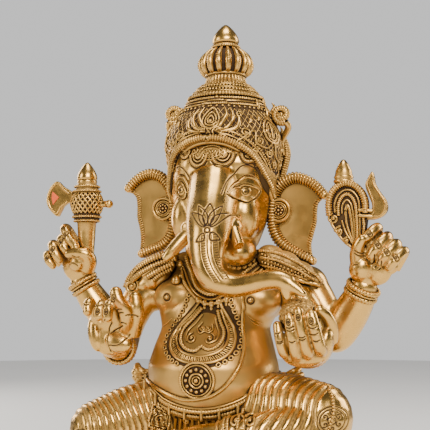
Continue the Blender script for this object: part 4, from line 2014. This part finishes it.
class FIGURE_OT_chest(bpy.types.Operator):
    """Lays the onion-shaped chest ornament, its bead rows and the belly medallion"""

    bl_idname = "figure.chest"
    bl_label = "Lay the chest ornament"

    def execute(self, context):
        body = skins("torso_skin")
        chest = Wax()
        dark = Wax()
        for points, radius, pitch in (
            ([(-9, 222), (-16, 211), (-25, 201), (-31.5, 192), (-34, 183), (-31, 174.5),
              (-22, 167.5), (-10, 164.6), (2, 164.6), (13, 166), (21.6, 171), (26, 178), (26, 187),
              (23, 196), (18, 205), (12, 214), (9, 222)], 1.5, 0),
            ([(-9, 215), (-17, 205), (-26, 196.6), (-28.6, 188), (-26, 180), (-18.6, 173.6),
              (-6, 170.6), (5, 171), (14.6, 174.4), (20, 181), (20, 190), (16, 200), (11, 212)],
              1.25, 0),
            ([(-7, 214), (-14.4, 204.6), (-22.6, 195.6), (-24.4, 188), (-22, 181.6), (-15.4, 176.4),
              (-7, 175), (-2, 179)], 1.7, 2.4),
            ([(8, 212), (11.6, 201), (15.6, 192), (15.6, 184.4), (11.8, 178.6), (5, 176.4),
              (-1, 179)], 1.7, 2.4),
            ([(-6, 208), (-11.6, 200), (-17.6, 193.6), (-19, 187.6), (-16.4, 183)], 1.0, 0),
            ([(7, 205), (8.6, 198), (11.6, 191), (10.8, 185), (7, 182.4)], 1.0, 0),
            ([(-5, 201), (-9, 195), (-6, 190.6), (-1.6, 192.4), (2.4, 191), (5.4, 194), (4.6, 199)],
              0.9, 0),
        ):
            chest.cord(body.from_front(smooth_path(points), 0.7), radius, pitch)
        self.hatched_band(body, chest)
        for centre, radius, start, way in (((-12.4, 186), 5.0, 90, 1.5), ((4.6, 185.4), 5.0, 90, -1.5),
                ((-4, 195), 2.6, 180, 1.2), ((1, 195), 2.6, 0, -1.2)):
            path = body.from_front(spiral(centre, radius, start, way), 0.8)
            chest.cords([path], 0.95)
            chest.beads(body.from_front([centre], 1.0), 1.3, 10)
        self.ring_beads(body, chest, dark)
        self.medallion(body, chest, dark)
        piece("chest_relief", chest, "jewel_brass",
              ["chest_plate", "belly_medallion"])
        piece("chest_ground", dark, "mesh_ground_brass")
        self.ground(body)
        return {"FINISHED"}

    def ground(self, body):
        """Thin dark ground plate under the ornament, open in the middle."""
        outline = smooth_path([
            (-8, 224), (-24, 208), (-36, 194), (-39, 181), (-31, 168), (-14, 161), (3, 160), (20, 164),
            (31, 175), (30, 190), (24, 205), (14, 220),
        ], 3, closed=True)
        centre = outline.mean(0)
        wax = Wax().sheet([
            body.from_front(centre + (outline - centre) * share, 0.22)
            for share in np.linspace(0.60, 1, 9)
        ])
        piece("chest_plate_ground", wax, "mesh_ground_brass")

    def hatched_band(self, body, chest):
        """The band of short strokes between the two outer lines."""
        outer = even_path(smooth_path([
            (-14, 213), (-24, 202.6), (-30.6, 193), (-33, 183), (-30, 175.4), (-21.6, 168.6),
            (-10, 165.8), (2, 165.8), (12.6, 167.2), (20.8, 172), (25, 178.6), (25, 187),
            (21.6, 196.6), (14, 210),
        ]), 1.9)
        inner = even_path(smooth_path([
            (-12.6, 210), (-21, 201), (-27.6, 192.6), (-29.6, 184), (-27, 178), (-20, 172.6),
            (-9, 169.6), (2, 169.6), (11, 170.6), (17.6, 175), (21.2, 180), (21.2, 188), (18, 196),
            (12.6, 207),
        ]), 1.0)
        share = np.linspace(0, len(inner) - 1, len(outer)).round().astype(int)
        strokes = []
        for start, end in zip(outer, inner[share]):
            stroke = body.from_front(np.linspace(start, end, 4), 0.5)
            if len(stroke) > 1:
                strokes.append(stroke)
        chest.cords(strokes, 0.72, sides=1)

    def ring_beads(self, body, chest, dark):
        """The row of round eyelets outside the ornament, each with a hollow middle."""
        rows = (
            [(-18, 229), (-24, 225), (-24.6, 219), (-27, 212), (-31, 205), (-36, 198.6), (-40, 192),
             (-41.6, 184), (-40, 177), (-36, 171), (-30, 166.6), (-23, 163.6)],
            [(17, 226), (20, 219), (22.6, 212), (26, 204), (29, 196), (31.4, 188), (31.6, 180),
             (28.6, 172.6), (23, 166.8), (16, 163)],
        )
        for row in rows:
            for x, z in even_path(smooth_path(row), 5.4):
                ring = body.from_front(circle((x, z), 1.75, 16), 0.7)
                if len(ring) > 10:
                    chest.cords([ring], 0.72, sides=2)
                    dark.beads(body.from_front([(x, z)], -0.1), 1.3, 8)

    def medallion(self, body, chest, dark):
        """The round medallion with its ring of beads."""
        centre = np.array((-3, 149))
        for reach, radius, pitch in ((15.6, 1.2, 1.8), (13.2, 0.7, 0), (6.2, 0.9, 0), (3.6, 0.6, 0)):
            path = body.from_front(circle(centre, reach, 72), 1.1)
            chest.cord(path, radius, pitch)
        chest.beads(body.from_front(circle(centre, 9.7, 12)[:-1], 1.4), 1.7, 12)
        chest.beads(body.from_front([centre], 1.6), 2.2, 12)
        disc = Wax().sheet([
            body.from_front(circle(centre, reach, 48)[:-1], 0.4) for reach in np.linspace(1, 15.5, 7)
        ])
        dark.add(disc.mesh())


class FIGURE_OT_necklace(bpy.types.Operator):
    """Strings the necklace of hatched cords, ringed beads and drops"""

    bl_idname = "figure.necklace"
    bl_label = "String the necklace"

    def execute(self, context):
        body = skins("torso_skin", "head_skin")
        beads = Wax()
        for stations, radius, pitch in (
            ([(-34, -20, 262), (-24, -36, 248), (-14, -46, 234), (0, -50, 228), (14, -46, 234),
              (26, -34, 246), (38, -22, 258)], 2.2, 2.4),
            ([(-38, -20, 258), (-28, -36, 243), (-16, -48, 229), (0, -52, 223), (16, -48, 229),
              (29, -35, 241), (42, -22, 254)], 1.1, 0),
            ([(-42, -18, 262), (-34, -34, 246), (-24, -44, 233), (-12, -52, 223), (0, -54, 219),
              (14, -52, 223), (27, -42, 233), (38, -32, 243), (48, -18, 258)], 1.6, 2.0),
        ):
            path = body.nearest(smooth_path(stations), 1.2)
            beads.cord(path, radius, pitch)
        row = body.nearest(even_path(smooth_path([
            (9, -40, 248), (20, -38, 251), (30, -32, 256), (36, -24, 262), (42, -14, 268),
        ]), 5.6), 1.6)
        for place in row:
            beads.ball(place, (2.7, 2.3, 2.7), segments=14)
        for place in row:
            ring = circle((place[0], place[2]), 1.6, 14)
            beads.cords([np.insert(ring, 1, place[1] - 2.0, axis=1)], 0.5)
        for x, y, z, size in ((-40, -33, 256, 3.6), (-41, -35, 249.6, 3.0), (-36.5, -38, 251, 3.0),
                (-37.5, -41, 243, 4.6)):
            place = body.nearest([(x, y, z)], size * 0.5)[0]
            beads.ball(place, (size, size * 0.9, size), segments=16)
        for x, z in ((-12, 221), (-5, 218), (1.6, 217), (8, 219), (15, 221)):
            place = body.from_front([(x, z)], 1.4)[0]
            beads.ball(place, (2.6, 2.2, 3.4), segments=14)
            beads.ball(place + (0, -0.6, -4.2), (1.5, 1.3, 1.9), segments=12)
        piece("necklace_strings", beads, "jewel_brass", ["necklace"])
        return {"FINISHED"}


class FIGURE_OT_thread(bpy.types.Operator):
    """Lays the sacred thread over the shoulder and round the belly"""

    bl_idname = "figure.thread"
    bl_label = "Lay the sacred thread"

    def execute(self, context):
        body = skins("torso_skin")
        path = body.nearest(smooth_path([
            (36, -30, 246), (31, -44, 228), (32, -48, 208), (34, -52, 192), (36, -60, 176),
            (34, -69, 162), (28, -76, 150), (20, -79, 141), (10, -80, 135), (-3, -80, 132),
            (-16, -79, 131), (-29, -75, 134), (-42, -68, 139), (-55, -58, 143), (-63, -44, 146),
            (-67, -26, 148),
        ]), 0.9)
        even = even_path(path, 1.0)
        path = even[np.linspace(0, len(even) - 1, len(path)).round().astype(int)]
        cords = Wax().cords([path], 1.9, sides=3)
        cords.cords([path + (0.4, -1.2, 0.9)], 0.7, sides=2)
        piece("sacred_thread_cord", cords, "skin_brass", ["sacred_thread"])
        return {"FINISHED"}


class FIGURE_OT_shoulders(bpy.types.Operator):
    """Drapes the ribbed strands over one shoulder and the beaded leaf over the other"""

    bl_idname = "figure.shoulders"
    bl_label = "Drape the shoulders"

    def execute(self, context):
        right = Wax()
        for stations, radius, pitch in (
            ([(-38, -30, 268), (-60, -34, 263), (-80, -27, 254), (-94, -18, 243), (-99, -16, 234)],
              3.2, 2.9),
            ([(-40, -32, 262), (-60, -34, 256), (-78, -29, 248), (-90, -22, 241)], 2.7, 2.7),
            ([(-42, -33, 257), (-57, -35, 250), (-70, -31, 244)], 2.9, 2.8),
            ([(-44, -33, 252), (-56, -34, 246), (-64, -31, 241)], 2.3, 2.5),
            ([(-42, -31, 265), (-62, -33, 260), (-80, -27, 251), (-92, -19, 241)], 1.2, 0),
            ([(-42, -32, 259.5), (-60, -34, 253), (-76, -30, 245)], 1.2, 0),
        ):
            path = smooth_path(stations)
            right.cord(path, radius, pitch, 0.26, sides=3)
        curl = spiral((-91, 235), 8.0, 60, -1.6, 40, 0.16)
        laid = np.insert(curl, 1, -20.5, axis=1)
        right.cords([laid], 1.9, sides=3)
        right.ball((-91, -21.5, 235), (2.4, 2.2, 2.4), segments=14)
        piece("right_shoulder_strands", right, "jewel_brass", ["right_shoulder_sash"])
        flesh = Wax()
        for x, y, z, size in (
            (-56, -20, 258, 15), (-70, -17, 251, 15), (-84, -11, 244, 13), (-92, -9, 236, 11),
            (-62, -20, 243, 14), (-76, -16, 237, 12),
        ):
            flesh.ball((x, y, z), (size, size * 0.8, size * 0.8), (0, -26, 0))
        piece("shoulder_flesh", flesh.fused(1.6, 8), "skin_brass")
        backing = Wax()
        for x, y, z, size in ((52, -20, 262, 15), (66, -18, 256, 15), (80, -13, 248, 13),
                (92, -9, 240, 8)):
            backing.ball((x, y, z), (size, size * 0.86, size * 0.8), (0, 26, 0))
        cloth = backing.fused(1.6, 6)
        drape = Skin(cloth)
        left = Wax()
        for stations, radius, pitch in (
            ([(40, 268), (58, 266), (76, 258), (92, 246), (101, 236)], 1.5, 2.2),
            ([(40, 253), (56, 249), (72, 243), (88, 238), (101, 235)], 2.2, 0),
            ([(40, 256), (56, 252.4), (72, 246.4), (86, 241)], 0.9, 0),
            ([(44, 262), (62, 258), (80, 249), (92, 241)], 1.2, 1.8),
        ):
            path = drape.from_front(smooth_path(stations), 0.5)
            if len(path) > 1:
                left.cord(path, radius, pitch, sides=2)
        for row, (z0, z1) in enumerate(((264.6, 247), (261.6, 244), (257.6, 243), (254.6, 242))):
            dots = np.column_stack([np.linspace(46, 88 - row * 3, 14), np.linspace(z0, z1, 14)])
            left.beads(drape.from_front(dots, 0.4), 1.3, 8)
        piece("left_shoulder_leaf", left, "jewel_brass", ["left_shoulder_sash"])
        piece("shoulder_cloth", cloth, "worn_ground_brass")
        folds = Wax()
        for x0, z0, x1, z1 in ((34, 207, 46, 199), (-38, 205, -52, 196), (36, 203, 44, 197)):
            bow = smooth_path([(x0, z0), ((x0 + x1) / 2, (z0 + z1) / 2 - 1), (x1, z1)])
            path = skins("torso_skin").from_front(bow, 0.1)
            taper = 0.2 + np.sin(np.linspace(0, math.pi, len(path))) * 0.6
            folds.cords([np.column_stack([path, taper])])
        piece("chest_folds", folds, "skin_brass")
        return {"FINISHED"}


class FIGURE_OT_waist(bpy.types.Operator):
    """Ties the belt, its hip knots, the embroidered flap and the hanging sash"""

    bl_idname = "figure.waist"
    bl_label = "Tie the waist"

    def execute(self, context):
        body = skins("torso_skin", "left_leg_skin", "right_leg_skin")
        belt = Wax()
        loop = smooth_path([
            (0, -76, 117), (18, -74, 119), (38, -67, 126), (52, -60, 135), (63, -42, 142),
            (66, -18, 146), (62, 10, 147), (46, 36, 147), (16, 48, 147), (-14, 48, 147),
            (-46, 38, 147), (-66, 14, 147), (-72, -16, 145), (-68, -44, 140), (-56, -60, 134),
            (-40, -68, 125), (-19, -74, 119),
        ], 6, closed=True)
        for lift_z, radius, pitch, lift in ((3.0, 2.3, 2.8, 1.4), (-2.6, 2.1, 2.8, 1.6),
                (6.6, 1.1, 0, 0.8), (-6.2, 1.0, 0, 1.0)):
            path = skins("torso_skin").nearest(loop + (0, 0, lift_z), lift)
            path = np.vstack([path, path[:1]])
            belt.cord(path, radius, pitch, 0.14, sides=3)
        ties = body.nearest(even_path(loop, 17, closed=True), 2.4)
        for x, y, z in ties:
            tie = [(x, y - 0.6, z - 5), (x, y - 1.6, z), (x, y - 0.6, z + 5)]
            belt.cords([tie], 1.4, sides=3)
        piece("belt_ropes", belt, "jewel_brass", ["belt"])
        self.knots()
        self.flap(body)
        return {"FINISHED"}

    def knots(self):
        """The gathered knots on both hips."""
        knots = Wax()
        for hand in (-1, 1):
            x, y, z = hand * 72 - 5, -10, 147
            for lean in (-50, -20, 10, 40):
                turn = math.radians(lean)
                tip = (x + hand * 13 * math.cos(turn), y - 4, z + 12 * math.sin(turn) + 2)
                knots.cords([smooth_path([
                    (x - hand * 6, y - 8, z, 3.6), ((x + tip[0]) / 2, y - 12, (z + tip[2]) / 2, 5.0),
                    (*tip, 3.2),
                ])], sides=4)
            knots.ball((x - hand * 3, y - 12, z), (5.6, 4.6, 7.2), segments=20)
            for shift in (-3.2, 0, 3.2):
                knots.cords([smooth_path([
                    (x - hand * 9, y - 13, z + shift), (x - hand * 3, y - 17.4, z + shift),
                    (x + hand * 3, y - 14, z + shift),
                ])], 0.9, sides=2)
        piece("hip_knot_folds", knots, "jewel_brass", ["hip_knots"])

    def flap(self, body):
        """The embroidered flap, the volutes and the pleated sash between the legs."""
        work = Wax()

        def lay(points, radius, pitch=0.0, lift=0.7):
            path = body.from_front(points, lift)
            if len(path) > 1:
                work.cord(path, radius, pitch)

        corners = [(-49, 125), (-34, 116), (-37, 100), (-52, 106)]
        for share, radius, pitch in ((1.0, 1.3, 2.0), (0.72, 0.7, 0)):
            centre = np.mean(corners, axis=0)
            ring = centre + (np.array(corners + corners[:1]) - centre) * share
            lay(even_path(ring, 1.4), radius, pitch)
        for x, z, radius in ((-43, 112, 3.6), (-38.6, 107.4, 2.4), (-47, 117, 2.4)):
            lay(spiral((x, z), radius, 60, 1.4), 0.8)
        for index, x in enumerate((-30, -24, -18, -11, -4, 3, 10, 17, 24)):
            lay(smooth_path([(x * 0.9, 114), (x, 106), (x * 1.04 - 1, 96), (x * 1.1 - 2, 84)]),
                1.9 - 0.3 * (index % 2), 0)
        for x, z, radius, start, way in (
            (39, 116, 5.0, 30, 1.5), (52, 117, 5.0, 150, -1.5), (30, 108, 4.0, 60, 1.3),
            (45, 108, 3.4, 60, 1.3), (14, 112, 3.8, 120, -1.3), (-16, 112, 3.6, 60, 1.3),
        ):
            lay(spiral((x, z), radius, start, way), 1.2, 0, 1.4)
            work.beads(body.from_front([(x, z)], 1.6), 1.5, 10)
        piece("front_sash_embroidery", work, "jewel_brass")
        sash = node_mesh("front_sash")
        places, _ = points_of(sash)
        ridge = np.abs(np.sin(places[:, 0] * 0.85)) ** 0.6
        piece("front_sash_pleats", worked(sash, (ridge - 1) * 1.0, 0.9 * (1 - ridge)), "pleat_brass",
              ["front_sash"])


# ------------------------------------------------------------------ stage
class FIGURE_OT_stage(bpy.types.Operator):
    """Sets the pale floor, the soft lights and the camera"""

    bl_idname = "figure.stage"
    bl_label = "Set the stage"

    def execute(self, context):
        stage = context.scene.figure_stage
        floor_wax = Wax()
        bmesh.ops.create_circle(floor_wax.bm, cap_ends=True, radius=2600, segments=96)
        mesh = floor_wax.mesh()
        mesh.transform(Matrix.Scale(MM, 4))
        floor = bpy.data.objects.new("floor", mesh)
        context.scene.collection.objects.link(floor)
        pale = Finish("pale_floor")
        where = pale.node("ShaderNodeTexCoord").outputs["Object"]
        cloud = pale.noise(where, 3.0, 2.0)
        low = [c * 0.95 for c in stage.floor]
        pale.set(Base_Color=pale.blend(cloud, rgba(low), rgba(stage.floor)), Roughness=0.6)
        floor.data.materials.append(pale.material)
        self.light_room(context)
        for name, place, size, power, colour in (
            ("key", (0.70, -1.40, 1.20), (0.85, 0.75), 2.3, (1.0, 0.93, 0.84)),
            ("fill", (-1.35, -0.95, 0.80), (0.55, 1.0), 0.7, (1.0, 0.95, 0.88)),
            ("top", (0.10, -0.15, 1.75), (0.6, 0.5), 0.7, (1.0, 0.96, 0.90)),
            ("edge_left", (-1.25, 0.75, 0.75), (0.4, 1.1), 0.8, (1.0, 0.94, 0.86)),
            ("edge_right", (1.15, 0.85, 0.80), (0.4, 1.1), 0.8, (1.0, 0.94, 0.86)),
        ):
            lamp = bpy.data.lights.new(name, "AREA")
            lamp.shape = "RECTANGLE"
            lamp.size, lamp.size_y = size
            lamp.energy = stage.key * power
            lamp.color = colour
            light = bpy.data.objects.new(name, lamp)
            light.location = place
            aim = Vector((0, -0.02, 0.30)) - light.location
            light.rotation_euler = aim.to_track_quat("-Z", "Y").to_euler()
            context.scene.collection.objects.link(light)
        self.place_camera(context, stage)
        return {"FINISHED"}

    def light_room(self, context):
        """A quiet room: pale where it is seen, darker where the brass reflects it."""
        world = bpy.data.worlds.new("room")
        world.use_nodes = True
        context.scene.world = world
        tree = world.node_tree
        tree.nodes.clear()
        output = tree.nodes.new("ShaderNodeOutputWorld")
        seen = tree.nodes.new("ShaderNodeBackground")
        seen.inputs["Color"].default_value = (0.78, 0.78, 0.78, 1)
        felt = tree.nodes.new("ShaderNodeBackground")
        felt.inputs["Color"].default_value = (0.16, 0.17, 0.20, 1)
        felt.inputs["Strength"].default_value = 0.55
        path = tree.nodes.new("ShaderNodeLightPath")
        mix = tree.nodes.new("ShaderNodeMixShader")
        either = tree.nodes.new("ShaderNodeMath")
        either.operation = "MAXIMUM"
        tree.links.new(path.outputs["Is Camera Ray"], either.inputs[0])
        tree.links.new(path.outputs["Is Diffuse Ray"], either.inputs[1])
        tree.links.new(either.outputs[0], mix.inputs[0])
        tree.links.new(felt.outputs[0], mix.inputs[1])
        tree.links.new(seen.outputs[0], mix.inputs[2])
        tree.links.new(mix.outputs[0], output.inputs["Surface"])

    def place_camera(self, context, stage):
        """The camera looks at the middle of the upper figure."""
        crown_top = span("crown_bud")[1][2]
        middle = Vector((-10.5, 0, crown_top - 194)) * MM
        level = math.cos(stage.elevation)
        back = Vector((
            math.sin(stage.azimuth) * level, -math.cos(stage.azimuth) * level,
            math.sin(stage.elevation),
        ))
        lens = bpy.data.cameras.new("camera")
        lens.sensor_width = 36.0
        lens.lens = 36.0 * stage.distance / stage.width
        lens.clip_start = 0.01
        camera = bpy.data.objects.new("camera", lens)
        camera.location = middle + back * stage.distance
        camera.rotation_euler = (-back).to_track_quat("-Z", "Y").to_euler()
        context.scene.collection.objects.link(camera)
        context.scene.camera = camera


OPERATORS = (
    FIGURE_OT_torso,
    FIGURE_OT_head,
    FIGURE_OT_arms,
    FIGURE_OT_hands,
    FIGURE_OT_axe,
    FIGURE_OT_noose,
    FIGURE_OT_sweet,
    FIGURE_OT_ears,
    FIGURE_OT_crown_tiers,
    FIGURE_OT_crown_cap,
    FIGURE_OT_crown_ribbons,
    FIGURE_OT_forehead,
    FIGURE_OT_legs,
    FIGURE_OT_seat,
    FIGURE_OT_bracelets,
    FIGURE_OT_chest,
    FIGURE_OT_necklace,
    FIGURE_OT_thread,
    FIGURE_OT_shoulders,
    FIGURE_OT_waist,
    FIGURE_OT_stage,
)


class FIGURE_PT_panel(bpy.types.Panel):
    """Lists the groups of pieces and their settings"""

    bl_idname = "FIGURE_PT_panel"
    bl_label = "Brass figure"
    bl_space_type = "VIEW_3D"
    bl_region_type = "UI"
    bl_category = "Brass figure"

    def draw(self, context):
        for settings in (
            context.scene.figure_finish, context.scene.figure_chasing, context.scene.figure_stage,
        ):
            box = self.layout.box()
            for name in settings.__annotations__:
                box.prop(settings, name)
        for operator in OPERATORS:
            self.layout.operator(operator.bl_idname)


SETTINGS = {
    "figure_finish": FinishSettings,
    "figure_chasing": ChasingSettings,
    "figure_stage": StageSettings,
}


def register():
    """Registers the classes and hangs the settings on the scene."""
    for cls in (*SETTINGS.values(), *OPERATORS, FIGURE_PT_panel):
        bpy.utils.register_class(cls)
    for name, cls in SETTINGS.items():
        setattr(bpy.types.Scene, name, PointerProperty(type=cls))


def unregister():
    """Takes the settings and the classes away again."""
    for name in SETTINGS:
        delattr(bpy.types.Scene, name)
    for cls in (FIGURE_PT_panel, *reversed(OPERATORS), *SETTINGS.values()):
        bpy.utils.unregister_class(cls)


def main():
    """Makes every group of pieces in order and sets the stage."""
    register()
    for operator in OPERATORS:
        group, name = operator.bl_idname.split(".")
        getattr(getattr(bpy.ops, group), name)()


if __name__ == "__main__":
    main()
